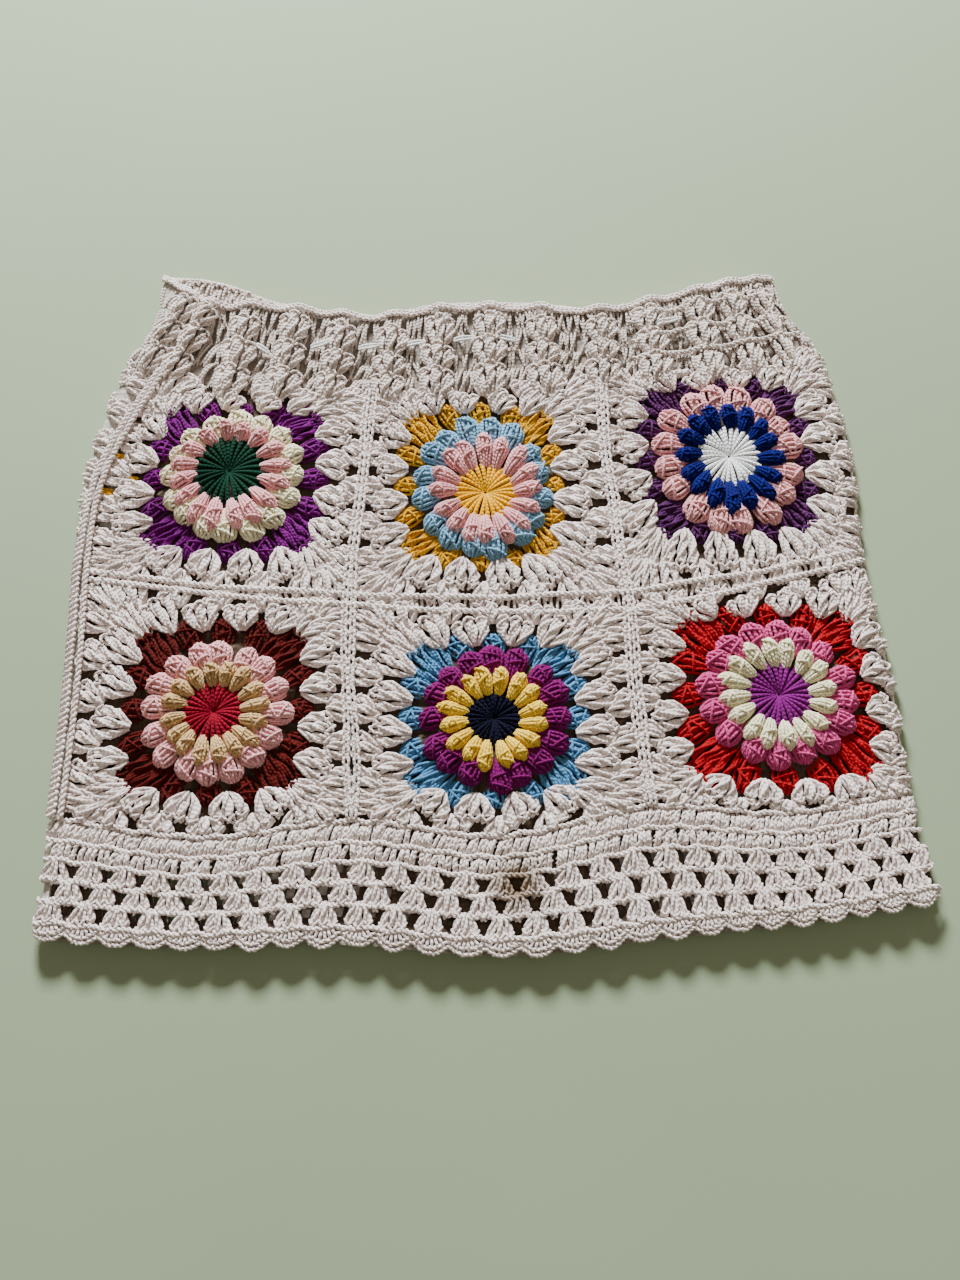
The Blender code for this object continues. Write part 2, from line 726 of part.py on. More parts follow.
def hem_band(name, front):
    """The worked band below the squares: close rows, three rows of open clusters, a scalloped edge."""
    solid = Solid(name)
    v_high = SQUARES_BOTTOM - SEAM_GAP / 2.0

    def limits(v, rim=FRONT_RIM):
        if front:
            left = plan(left_u(v), v)[0] + SEAM_GAP / 2.0
            return left, plan(3.0, v)[0] - FOLD_RADIUS
        left = plan(0.0, v)[0] + FOLD_RADIUS
        return left, plan(3.0, v)[0] - RIGHT_UNDERLAP - SEAM_GAP

    base_top = STACK if front else WALL
    base_low = WALL + LAYER_GAP if front else 0.0

    def pair(s, v, rise=0.0):
        x, y = panel_point(limits, s, v)
        high = solid.vertex(x, y, lift(v) + base_top + (rise if front else 0.0))
        low = solid.vertex(x, y, lift(v) + base_low)
        return s, high, low

    def line(places, v, rise=0.0):
        return [pair(s, v, rise) for s in places]

    def join(lower, upper):
        bridge(solid, [(s, high) for s, high, _ in lower], [(s, high) for s, high, _ in upper])
        bridge(solid, [(s, low) for s, _, low in lower], [(s, low) for s, _, low in upper])

    plain = [k / HEM_STEPS for k in range(HEM_STEPS + 1)]
    edge = line(plain, v_high, 0.6)
    levels = [edge]
    rows_v = [v_high]
    if front:
        chain = line(plain, CHAIN_LINE, 0.9)
        join(chain, edge)
        levels.append(chain)
        rows_v.append(CHAIN_LINE)
    previous = levels[-1]
    step = 1.0 / HEM_PERIODS
    for low_v, high_v, shift in OPEN_ROWS:
        upper_places = [0.0]
        lower_places = [0.0]
        centres = [(k + 0.5 + shift) * step for k in range(HEM_PERIODS)]
        centres = [c for c in centres if c < 1.0 - 0.3 * step]
        for centre in centres:
            upper_places += [centre - 0.20 * step, centre + 0.20 * step]
            lower_places += [centre - 0.15 * step, centre + 0.15 * step]
        upper_places.append(1.0)
        lower_places.append(1.0)
        upper = line(upper_places, high_v, 0.3)
        lower = line(lower_places, low_v, 0.3)
        join(upper, previous)
        for k in range(0, len(upper) - 1, 2):
            a, b = upper[k], upper[k + 1]
            d, c = lower[k], lower[k + 1]
            solid.face(a[2], b[2], c[2], d[2])
            if front:
                x, y, z = solid.mean((a[1], b[1], c[1], d[1]))
                peak = solid.vertex(x, y, z + HEM_CLUSTER_RISE)
                for one, two in ((a, b), (b, c), (c, d), (d, a)):
                    solid.face(peak, one[1], two[1])
            else:
                solid.face(a[1], b[1], c[1], d[1])
        for k in range(1, len(upper) - 1, 2):
            hole = (upper[k], upper[k + 1], lower[k + 1], lower[k])
            for one, two in zip(hole, hole[1:] + hole[:1]):
                solid.face(one[1], two[1], two[2], one[2])
        levels += [upper, lower]
        rows_v += [high_v, low_v]
        previous = lower
    root = line(plain, SCALLOP_ROOT, 0.5)
    join(root, previous)
    tips = []
    for k in range(HEM_PERIODS):
        for part, depth in ((0.0, 0.25), (0.28, 0.95), (0.72, 0.95)):
            s = (k + part) * step
            tips.append(pair(s, SCALLOP_ROOT - SCALLOP_DEPTH * depth, 0.0))
    tips.append(pair(1.0, SCALLOP_ROOT - SCALLOP_DEPTH * 0.25, 0.0))
    join(tips, root)
    levels += [root, tips]
    for ends in (edge, tips):
        for one, two in zip(ends, ends[1:]):
            solid.face(one[1], two[1], two[2], one[2])

    rows_v += [SCALLOP_ROOT, SCALLOP_ROOT - SCALLOP_DEPTH * 0.25]
    straight = 0 if front else -1
    turned_index = -1 if front else 0
    for one, two in zip(levels, levels[1:]):
        a, b = one[straight], two[straight]
        solid.face(a[1], b[1], b[2], a[2])
    turned = []
    for points, v in zip(levels, rows_v):
        _, high, low = points[turned_index]
        if front:
            profile = fold_profile(3.0, -1.0, v, FRONT_RIM, False, RIGHT_UNDERLAP)
            turned.append(fold_row(solid, high, low, profile))
        else:
            profile = fold_profile(0.0, 1.0, v, FRONT_RIM, True, strip_width(v) - SEAM_GAP / 2.0)
            turned.append(fold_row(solid, low, high, profile))
    fold_side(solid, turned)
    return finish(solid)


def clear_scene():
    for thing in list(bpy.data.objects):
        bpy.data.objects.remove(thing, do_unlink=True)


def build():
    clear_scene()
    for name, column, row, dx, dy in SQUARES:
        front_square(name, column, row, dx, dy)
    number = 0
    for row in (1, 0):
        for column in range(3):
            number += 1
            back_square("back_square_%d" % number, column, row)
    waistband("waistband_front", True)
    waistband("waistband_back", False)
    hem_band("hem_band_front", True)
    hem_band("hem_band_back", False)


build()
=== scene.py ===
"""Crochet skirt laid flat: yarn, stitches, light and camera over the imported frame."""

import math
from collections import namedtuple

import bmesh
import bpy
import numpy as np
from bpy.props import FloatProperty, FloatVectorProperty, IntProperty, PointerProperty
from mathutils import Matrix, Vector


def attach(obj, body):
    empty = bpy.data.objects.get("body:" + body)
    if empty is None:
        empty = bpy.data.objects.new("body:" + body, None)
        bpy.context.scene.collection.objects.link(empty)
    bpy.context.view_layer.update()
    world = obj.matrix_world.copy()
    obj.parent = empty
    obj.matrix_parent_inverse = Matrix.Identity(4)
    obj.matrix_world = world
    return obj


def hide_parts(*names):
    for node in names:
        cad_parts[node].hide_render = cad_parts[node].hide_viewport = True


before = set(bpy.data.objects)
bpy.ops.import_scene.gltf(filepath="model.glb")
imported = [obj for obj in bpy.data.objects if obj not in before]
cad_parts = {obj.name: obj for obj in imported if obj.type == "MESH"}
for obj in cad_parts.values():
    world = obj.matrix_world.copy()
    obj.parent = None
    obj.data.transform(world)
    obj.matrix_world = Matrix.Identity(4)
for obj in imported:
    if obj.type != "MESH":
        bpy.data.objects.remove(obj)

bl_info = {
    "name": "Crochet flower-square skirt",
    "version": (1, 0, 0),
    "blender": (4, 5, 0),
    "location": "View3D > Sidebar > Skirt",
    "description": "Works the yarn of a crochet skirt of flower squares, laid flat",
    "category": "Object",
}

MM = 0.001
# All lengths below are in millimetres, on a plan whose origin is this far from the part's own.
CENTRE_SHIFT = (0.89, -0.14)
# The worked cloth: one layer's thickness, the gap between two, and a fold of two layers.
WALL = 3.0
LAYER_GAP = 0.3
STACK = 2.0 * WALL + LAYER_GAP
FOLD_RADIUS = STACK / 2.0

# Lines across the skirt, by their distance from the hem.
HEM_EDGE = 0.0
SQUARES_BOTTOM = 65.0
LOWER_MIDDLE = 135.0
MIDDLE_SEAM = 205.0
UPPER_MIDDLE = 275.0
SQUARES_TOP = 345.0
ELASTIC_LINE = 380.0
RIM = 405.0

# A cross line of the skirt: its distance from the hem, x at the left fold, the two column seams and the
# right fold, and y at even steps from the left fold to the right, in millimetres.
Level = namedtuple("Level", ("along", "fold_x", "y"))
LEVELS = (
    Level(HEM_EDGE, (-231, -70, 96, 242), (-209, -214, -212, -217.5, -209, -201, -190)),
    Level(SQUARES_BOTTOM, (-231.5, -69, 92, 234), (-144, -155, -146, -154, -138, -142, -130)),
    Level(LOWER_MIDDLE, (-233, -73, 88, 233), (-73, -83.5, -82, -87.5, -78, -77, -64)),
    Level(MIDDLE_SEAM, (-238, -76, 86, 226.5), (-2, -12, -18, -21, -18, -11, 4)),
    Level(UPPER_MIDDLE, (-242.5, -72, 79, 229), (69, 60, 54, 54, 59, 65, 79)),
    Level(SQUARES_TOP, (-227, -68, 77, 217), (147, 127, 125, 129, 137, 143, 160)),
    Level(ELASTIC_LINE, (-213, -67, 78, 202), (179, 162, 151, 164, 161, 179, 185)),
)
FRONT_RIM = Level(
    RIM,
    (-211, -66, 75, 194),
    (216, 193, 191, 186, 182.5, 188.7, 190, 189.3, 187.7, 193.8, 202, 210, 215),
)
BACK_RIM = Level(
    RIM,
    (-211, -66, 75, 194),
    (216, 211.5, 196.5, 186, 185, 193.3, 195, 193.7, 190, 195, 204, 214, 215),
)
# Width of the strip of the back squares that comes round the left fold.
Strip = namedtuple("Strip", ("along", "width"))
LEFT_STRIP = (
    Strip(HEM_EDGE, 4.5),
    Strip(SQUARES_BOTTOM, 4.5),
    Strip(MIDDLE_SEAM, 4.5),
    Strip(240.0, 7.0),
    Strip(UPPER_MIDDLE, 12.0),
    Strip(310.0, 19.0),
    Strip(SQUARES_TOP, 25.0),
    Strip(ELASTIC_LINE, 22.0),
    Strip(RIM, 14.0),
)
# A gathered rib of the waistband: x at the rim, x where it runs out below, height and half width.
Rib = namedtuple("Rib", ("rim_x", "low_x", "height", "half_width"))
RIBS = (
    Rib(-196, -224, 3.6, 11),
    Rib(-178, -204, 4.2, 11),
    Rib(-151, -161, 4.8, 14),
    Rib(-118, -127, 4.8, 14),
    Rib(-88, -95, 4.4, 13),
    Rib(-56, -60, 4.0, 13),
    Rib(-26, -28, 4.2, 13),
    Rib(6, 6, 4.6, 14),
    Rib(39, 41, 4.4, 14),
    Rib(78, 79, 4.6, 15),
    Rib(111, 114, 4.2, 14),
    Rib(143, 149, 4.0, 13),
    Rib(167, 180, 3.6, 12),
    Rib(186, 206, 2.8, 9),
)
# How far below the squares' top edge the ribs run out, and y where rim_x and low_x hold.
RIB_FADE = 62.0
RIB_TOP_Y = 185.0
RIB_LOW_Y = 120.0
# How high the hem's and the rim's edges stand off the surface, and over what length they sink to it.
HEM_LIFT = 2.6
HEM_LIFT_LENGTH = 42.0
RIM_LIFT = 1.6
RIM_LIFT_LENGTH = 30.0
# Repeats of the hem's groups and shells across the front, where the first shell stands in its repeat,
# and how far from the edge the shells root.
HEM_PERIODS = 27
SHELL_PHASE = 0.38
SHELL_ROOT = 11.0
# Trebles in a flower's centre, how high a petal stands, and the ground of the two rounds of petals.
CENTRE_TREBLES = 14
PETAL_HEIGHT = 5.8
INNER_GROUND = 2.4
OUTER_GROUND = 0.2
# Groups of the coloured round along one side, in shares of the side: a pair at the corner, then three.
COLOURED_PLACES = (-0.075, 0.075, 0.275, 0.5, 0.725)
# An off-white round: where its groups root along a side, and how far out it starts and ends.
WhiteRound = namedtuple("WhiteRound", ("feet", "inner", "outer"))
WHITE_ROUNDS = (
    WhiteRound((0.19, 0.39, 0.61, 0.81), 0.0, 0.55),
    WhiteRound((0.1, 0.3, 0.5, 0.7, 0.9), 0.34, 1.0),
)
# Rows of the waistband, from and to: its trebles, and the raised groups on each rib.
TREBLE_ROWS = ((343.0, 360.0), (357.0, 375.0), (372.0, 391.0), (388.0, 404.0))
RIB_ROWS = ((335.0, 360.0), (357.0, 380.0), (377.0, 397.0))
# Chain lines between rows: across the waistband's right part, and across the hem.
WAIST_CHAINS = (357.0, 374.0, 391.0)
HEM_CHAINS = (64.5, 53.0, 42.8, 32.0, 21.0, 10.0)
# An open row of the hem: from, to, and where the first group stands in its repeat.
OpenRow = namedtuple("OpenRow", ("top", "low", "shift"))
OPEN_ROWS = (OpenRow(45.0, 31.5, 0.35), OpenRow(34.0, 20.5, -0.15), OpenRow(23.0, 9.5, 0.35))
# Posts in one repeat of the hem's first and second close row.
FIRST_ROW_POSTS = 6
SECOND_ROW_POSTS = 5
# How far the yarn of the right edge stands out past the fold's line.
RIGHT_EDGE_LINES = (1.6, 4.2)
# How far the yarn's ground lies below the solid's top, on the front and on the back, and how upright
# the normal of a point or a face of the top is at least. The front's faces this upright get painted
# shade.
FRONT_THIN = 2.3
BACK_THIN = 0.5
TOP_POINT = 0.25
SHADED_TOP_FACE = 0.2
# Sides of a strand's round section.
STRAND_SIDES = 5
# One full turn, as the twist of a group counts it.
TURN = 6.28
# Distance between the furrows of the ply along a strand, in millimetres. Each strand starts at another
# place of the ply: by this share of this length more than the one before it.
PLY_PITCH = 2.4
START_SHARE = 0.618
START_LENGTH = 9.0
# Scales of patterns, in repeats a metre: fibres, dye, the stitches of the plain side and their strands.
FUZZ_SCALE = 2600.0
DYE_SCALE = 90.0
STITCH_SCALE = 330.0
STRAND_SCALE = 900.0
# The stain is full to this share of its reach, and casts this much of its colour there.
STAIN_CORE = 0.2
STAIN_STRENGTH = 0.95

# Where the elastic thread shows between two ribs of the waistband.
THREAD_SHOWS = (
    ((-109.0, 157.5), (-94.0, 160.0)),
    ((-78.0, 156.5), (-62.0, 157.5)),
    ((-48.0, 158.6), (-35.0, 161.0)),
    ((-17.0, 162.5), (-3.0, 164.2)),
    ((12.0, 163.5), (24.0, 162.3)),
    ((113.5, 173.0), (131.6, 180.5)),
    ((-144.0, 159.0), (-135.0, 152.0)),
)
# A ring of a flower: its middle and its half width and half height, in millimetres.
Ring = namedtuple("Ring", ("x", "y", "wide", "tall"))
# A front square: column, row, its four rings from the centre outwards, and the yarn of each ring.
# A ring is its middle x and y, and its half width and half height.
Square = namedtuple("Square", ("name", "column", "row", "rings", "yarns"))
SQUARES = (
    Square(
        "front_square_1", 0, 1,
        (
            (-153, 67, 19.5, 20.5), (-151.5, 62.5, 37.5, 38.5),
            (-150.5, 63.5, 44.5, 46), (-149, 62.5, 57, 56),
        ),
        ("bottle green", "pink", "cream", "purple"),
    ),
    Square(
        "front_square_2", 1, 1,
        (
            (4, 52, 17, 16.5), (4.5, 53, 35.5, 39.5),
            (2.5, 56.5, 43, 49.5), (0.6, 59, 52, 58),
        ),
        ("yellow", "pink", "pale blue", "mustard"),
    ),
    Square(
        "front_square_3", 2, 1,
        (
            (154.5, 77, 17, 18.5), (154.5, 75, 34, 39),
            (153.5, 76.5, 47, 53), (153, 77, 56, 58),
        ),
        ("white", "royal blue", "pink", "plum"),
    ),
    Square(
        "front_square_4", 0, 0,
        (
            (-148, -86, 15.5, 14.8), (-146.5, -87, 31, 31),
            (-147, -85.5, 42.5, 42.5), (-147.3, -84, 55, 55),
        ),
        ("crimson", "tan", "light pink", "brick"),
    ),
    Square(
        "front_square_5", 1, 0,
        (
            (8.6, -90, 14.7, 13.5), (8.6, -89.5, 31.5, 30.2),
            (9.7, -89.5, 43.2, 42.5), (8.7, -89, 54, 50.5),
        ),
        ("ink blue", "gold", "magenta", "steel blue"),
    ),
    Square(
        "front_square_6", 2, 0,
        (
            (169, -76, 16.7, 16.1), (168, -76, 34, 34),
            (168.6, -74.6, 45.3, 43.9), (167.7, -76, 58.5, 56),
        ),
        ("violet", "cream", "hot pink", "red"),
    ),
)
ROWS = ((SQUARES_BOTTOM, MIDDLE_SEAM), (MIDDLE_SEAM, SQUARES_TOP))
# The photo's camera: tilt in degrees, distance from the aimed point and its height in metres, y of that
# point in millimetres, the sensor's longer side, and focal length and picture height in pixels.
CAMERA_TILT = 20.0
CAMERA_DISTANCE = 0.553
CAMERA_AIM_Z = 0.008
CAMERA_AIM_Y = -43.0
SENSOR = 36.0
FOCAL_PIXELS = 962.0
PICTURE_HEIGHT = 1280.0
# A tan stain near the middle of the hem: its middle, how far it reaches and its colour.
Stain = namedtuple("Stain", ("x", "y", "z", "reach", "colour"))
STAIN = Stain(20.5, -180.5, 8.0, 20.0, "96866A")
# Spots left of the first flower where the mustard round of the back square shows through the gaps.
SHOWING_THROUGH = ((-208.0, 101.0), (-222.6, 77.5), (-228.1, 53.6), (-213.5, 62.0))
# The ground under the yarn, as sRGB hex: its own colour in plain view; then a dark painted shade on the
# front's upward faces, seen deep in the gaps, and a mid painted shade in the waistband's folds and
# under the hem's shells.
PLAIN_CLOTH = "DCD2CA"
PAINTED_GAP_SHADE = "564638"
PAINTED_FOLD_SHADE = "A4968A"
# Half the floor's side in metres, its two tones, and the colour and strength of the light all round.
FLOOR_HALF = 4.0
FLOOR_TONES = ("92A080", "98A686")
SKY_COLOUR = "EAE2CC"
SKY_STRENGTH = 0.3
# A soft rectangular light turned to the skirt: place and size in metres, power in watts.
Lamp = namedtuple("Lamp", ("name", "place", "size", "power", "colour"))
LAMPS = (
    Lamp("window", (-0.4, 2.3, 1.15), (0.65, 0.45), 246.0, "F4FAFE"),
    Lamp("room", (0.5, -0.6, 1.8), (1.6, 1.6), 4.0, "FFF8EC"),
)
# The dye of each yarn, as sRGB hex. The two greyer off-whites are the off-white with painted shade: on
# the waist's ribs and down in its folds.
YARNS = {
    "off white": "FAE8E2",
    "off white in painted waist shade": "EADAD1",
    "off white in painted fold shade": "D3C4BA",
    "bottle green": "003220",
    "yellow": "FFB600",
    "white": "FFFDF8",
    "crimson": "8A0222",
    "ink blue": "02021E",
    "violet": "7C1272",
    "pink": "F4B2B4",
    "royal blue": "050F68",
    "tan": "D4AE7C",
    "gold": "FFD04A",
    "cream": "FBEFCA",
    "pale blue": "84B0CC",
    "light pink": "F0B0B2",
    "magenta": "780A5E",
    "hot pink": "CE4E86",
    "purple": "6A0668",
    "mustard": "D89C1A",
    "plum": "542456",
    "brick": "540F0A",
    "steel blue": "568AB4",
    "red": "AC0214",
}


def smooth(value):
    """Eases from 0 to 1."""
    value = np.clip(value, 0.0, 1.0)
    return value * value * (3.0 - 2.0 * value)


def curve(places, values, at):
    """A smooth curve through values at rising places, for arrays; values is (places, ...)."""
    places = np.asarray(places, float)
    at = np.asarray(at, float)
    values = np.asarray(values, float)
    if values.ndim == 1:
        values = np.repeat(values[:, None], at.size, 1)
    n = len(places)
    k = np.clip(np.searchsorted(places, at, side="right") - 1, 0, n - 2)
    one = np.arange(at.size)
    step = places[k + 1] - places[k]
    part = (at - places[k]) / step

    def slope(m):
        low = np.maximum(0, m - 1)
        high = np.minimum(n - 1, m + 1)
        return (values[high, one] - values[low, one]) / (places[high] - places[low])

    a = 2 * part**3 - 3 * part**2 + 1
    b = part**3 - 2 * part**2 + part
    c = 3 * part**2 - 2 * part**3
    d = part**3 - part**2
    return a * values[k, one] + b * step * slope(k) + c * values[k + 1, one] + d * step * slope(k + 1)


def plan(u, v, rim=FRONT_RIM):
    """x and y of the skirt at u across it, from 0 to 3, and v along it, in millimetres."""
    u, v = np.broadcast_arrays(np.asarray(u, float), np.asarray(v, float))
    shape = u.shape
    u = u.ravel()
    v = v.ravel()
    lines = LEVELS + (rim,)
    places = [line.along for line in lines]
    xs = np.array([curve((0, 1, 2, 3), line.fold_x, u) for line in lines])
    ys = []
    for line in lines:
        last = len(line.y) - 1
        ys.append(curve([3.0 * k / last for k in range(last + 1)], line.y, u))
    x = curve(places, xs, v)
    y = curve(places, np.array(ys), v)
    return x.reshape(shape), y.reshape(shape)


def strip_width(v):
    """How wide the strip of the back squares on top of the left fold is."""
    return curve([row.along for row in LEFT_STRIP], [row.width for row in LEFT_STRIP], np.atleast_1d(v))


def left_u(v):
    """u of the left seam, on top of the left fold."""
    v = np.atleast_1d(np.asarray(v, float))
    wide = plan(1.0, v)[0] - plan(0.0, v)[0]
    return strip_width(v) / wide


def lift(v):
    """How far the free hem and the rim stand off the surface."""
    hem = HEM_LIFT * np.maximum(0.0, 1.0 - v / HEM_LIFT_LENGTH) ** 2
    rim = RIM_LIFT * np.maximum(0.0, 1.0 - (RIM - v) / RIM_LIFT_LENGTH) ** 2
    return hem + rim


def rib_part(y):
    """How far up its run from low_x to rim_x a rib is at y."""
    return np.clip((y - RIB_LOW_Y) / (RIB_TOP_Y - RIB_LOW_Y), -0.5, 1.2)


def gather(x, y, v):
    """Height of the gathered ribs, running out into the upper squares."""
    strength = smooth((v - SQUARES_TOP + RIB_FADE) / (ELASTIC_LINE - SQUARES_TOP + RIB_FADE))
    part = rib_part(y)
    height = np.zeros_like(x)
    for rim_x, low_x, rise, half in RIBS:
        away = np.abs(x - (low_x + part * (rim_x - low_x))) / half
        bump = rise * (0.5 + 0.5 * np.cos(np.pi * np.minimum(away, 1.0)))
        height = np.maximum(height, bump)
    return height * strength


# Yarn is laid round a fold as far as this turn, in radians.
FOLD_TURN = 2.1
ALONG = np.linspace(HEM_EDGE - 4.0, RIM, 140)
LEFT_FOLD = plan(0.0, ALONG)
RIGHT_FOLD = plan(3.0, ALONG)
MIDDLE_LINES = [plan(u, ALONG)[1] for u in np.linspace(0.0, 3.0, 13)]


def v_at(x, y):
    """About how far along the skirt a point is."""
    left = np.interp(y, LEFT_FOLD[1], LEFT_FOLD[0])
    right = np.interp(y, RIGHT_FOLD[1], RIGHT_FOLD[0])
    u = np.clip(3.0 * (x - left) / (right - left), 0.0, 3.0)
    table = np.array([np.interp(y, line, ALONG) for line in MIDDLE_LINES])
    spot = u / 3.0 * 12.0
    k = np.clip(spot.astype(int), 0, 11)
    part = spot - k
    one = np.arange(x.size)
    return table[k, one] * (1.0 - part) + table[k + 1, one] * part


def lay(points):
    """Puts points on the unrolled cloth, with their height over it, on the skirt's top and folds."""
    x = points[:, 0].copy()
    y = points[:, 1]
    h = points[:, 2]
    v = v_at(x, y)
    base = lift(v)
    right = np.interp(y, RIGHT_FOLD[1], RIGHT_FOLD[0]) - FOLD_RADIUS
    left = np.interp(y, LEFT_FOLD[1], LEFT_FOLD[0]) + FOLD_RADIUS
    z = base + STACK + gather(x, y, v) + h
    for edge, way in ((right, 1.0), (left, -1.0)):
        angle = way * (points[:, 0] - edge) / FOLD_RADIUS
        over = angle > 0.0
        reach = FOLD_RADIUS + np.where(angle > FOLD_TURN, -1.0, h)
        angle = np.minimum(angle, FOLD_TURN)
        x = np.where(over, edge + way * reach * np.sin(angle), x)
        z = np.where(over, base + FOLD_RADIUS + reach * np.cos(angle), z)
    return np.stack([x + CENTRE_SHIFT[0], y + CENTRE_SHIFT[1], z], 1) * MM


def lay_inside(points):
    """Puts points on the inner side of the back layer."""
    base = lift(v_at(points[:, 0], points[:, 1])) + WALL
    x = points[:, 0] + CENTRE_SHIFT[0]
    y = points[:, 1] + CENTRE_SHIFT[1]
    return np.stack([x, y, base + points[:, 2]], 1) * MM


def linear(hexcode):
    """sRGB hex to linear colour."""
    parts = []
    for k in (0, 2, 4):
        c = int(hexcode[k : k + 2], 16) / 255.0
        parts.append(c / 12.92 if c <= 0.04045 else ((c + 0.055) / 1.055) ** 2.4)
    return (*parts, 1.0)


def add(tree, kind, settings=None, **links):
    """Adds a node with its settings; each link is a value or an output socket for that input."""
    node = tree.nodes.new(kind)
    for key, value in (settings or {}).items():
        setattr(node, key, value)
    for key, value in links.items():
        numbered = key[0] == "i" and key[1:].isdigit()
        socket = node.inputs[int(key[1:]) if numbered else key.replace("_", " ")]
        if isinstance(value, bpy.types.NodeSocket):
            tree.links.new(value, socket)
        else:
            socket.default_value = value
    return node


def maths(tree, operation, *values):
    """Adds a Math node and gives its output."""
    inputs = {"i%d" % k: value for k, value in enumerate(values)}
    return add(tree, "ShaderNodeMath", {"operation": operation}, **inputs).outputs[0]


def remap(tree, value, low, high, at_low, at_high):
    """Adds a Map Range node and gives its output."""
    return add(tree, "ShaderNodeMapRange", i0=value, i1=low, i2=high, i3=at_low, i4=at_high).outputs[0]


def mixed(tree, blend, share, first, second):
    """Adds a Mix node for colours and gives its output."""
    kind = {"data_type": "RGBA", "blend_type": blend}
    return add(tree, "ShaderNodeMix", kind, i0=share, i6=first, i7=second).outputs[2]


def preset(node, **values):
    """Sets inputs of a node that nothing is linked to."""
    for key, value in values.items():
        node.inputs[key.replace("_", " ")].default_value = value


def new_material(name):
    """A new node material, its tree and its shader."""
    material = bpy.data.materials.new(name)
    material.use_nodes = True
    return material, material.node_tree, material.node_tree.nodes["Principled BSDF"]


def cotton(name, colour, dark=0.72, stain=None):
    """Matt two-ply cotton yarn, spun and dyed.

    The ply shows as slanting furrows, 2.4 mm apart along the strand, drawn coarser than they are so
    that they show, and the spun fibres as a fine fuzz on them. The dye takes a little unevenly. A
    stain, if any, is a tan cast round one spot. dark is the painted shade at the bottom of a furrow:
    the colour there is multiplied by it.
    """
    material = bpy.data.materials.get(name)
    if material:
        return material
    material, tree, shader = new_material(name)
    uv = add(tree, "ShaderNodeUVMap", {"uv_map": "UVMap"})
    axes = add(tree, "ShaderNodeSeparateXYZ", Vector=uv.outputs["UV"])
    round_it = 2.0 * math.pi
    turns = maths(tree, "MULTIPLY", axes.outputs["X"], round_it)
    runs = maths(tree, "MULTIPLY", axes.outputs["Y"], round_it / PLY_PITCH)
    slant = maths(tree, "ADD", turns, runs)
    ply = maths(tree, "SINE", slant)
    spot = add(tree, "ShaderNodeTexCoord").outputs["Object"]
    fuzz = add(tree, "ShaderNodeTexNoise", Vector=spot, Scale=FUZZ_SCALE, Detail=3.0, Roughness=0.65)
    uneven = add(tree, "ShaderNodeTexNoise", Vector=spot, Scale=DYE_SCALE, Detail=2.0)
    tint = remap(tree, uneven.outputs["Fac"], 0.3, 0.7, 0.0, 1.0)
    pale = tuple(min(1.0, c * 1.08) for c in colour[:3]) + (1.0,)
    deep = tuple(c * 0.86 for c in colour[:3]) + (1.0,)
    dyed = mixed(tree, "MIX", tint, deep, pale)
    # Painted shade: the colour darkens towards dark at the bottom of each ply furrow.
    final = mixed(tree, "MULTIPLY", 1.0, dyed, remap(tree, ply, -1.0, 0.1, dark, 1.0))
    if stain:
        middle = (stain.x * MM, stain.y * MM, stain.z * MM)
        away = add(tree, "ShaderNodeVectorMath", {"operation": "DISTANCE"}, i0=spot, i1=middle)
        reach = stain.reach * MM
        near = remap(tree, away.outputs["Value"], reach, STAIN_CORE * reach, 0.0, 1.0)
        blotch = maths(tree, "MULTIPLY", near, STAIN_STRENGTH)
        final = mixed(tree, "MULTIPLY", blotch, final, linear(stain.colour))
    relief = maths(tree, "MULTIPLY_ADD", fuzz.outputs["Fac"], 0.5, ply)
    bump = add(tree, "ShaderNodeBump", Strength=0.5, Distance=0.0003, Height=relief)
    tree.links.new(final, shader.inputs["Base Color"])
    tree.links.new(bump.outputs["Normal"], shader.inputs["Normal"])
    preset(shader, Roughness=0.85, Specular_IOR_Level=0.1, Sheen_Weight=0.02, Sheen_Roughness=0.5)
    material.diffuse_color = colour
    return material


def worked_cloth(name, hexcode):
    """The plain side of close crochet in matt cotton: stitches about 3 mm apart, seen between yarns.

    To the eye it is dull and soft, each stitch darker towards its edge: painted shade where the
    stitches meet.
    """
    material = bpy.data.materials.get(name)
    if material:
        return material
    material, tree, shader = new_material(name)
    colour = linear(hexcode)
    spot = add(tree, "ShaderNodeTexCoord").outputs["Object"]
    kind = {"feature": "F1"}
    stitches = add(tree, "ShaderNodeTexVoronoi", kind, Vector=spot, Scale=STITCH_SCALE, Randomness=0.6)
    strands = add(tree, "ShaderNodeTexNoise", Vector=spot, Scale=STRAND_SCALE, Detail=3.0)
    # Painted shade: the colour darkens towards each stitch's edge, as the relief sinks.
    tone = remap(tree, stitches.outputs["Distance"], 0.1, 0.8, 1.0, 0.55)
    relief = maths(tree, "MULTIPLY_ADD", strands.outputs["Fac"], 0.35, tone)
    bump = add(tree, "ShaderNodeBump", Strength=0.8, Distance=0.001, Height=relief)
    tree.links.new(mixed(tree, "MULTIPLY", 1.0, colour, tone), shader.inputs["Base Color"])
    tree.links.new(bump.outputs["Normal"], shader.inputs["Normal"])
    preset(shader, Roughness=0.92, Specular_IOR_Level=0.2)
    material.diffuse_color = colour
    return material


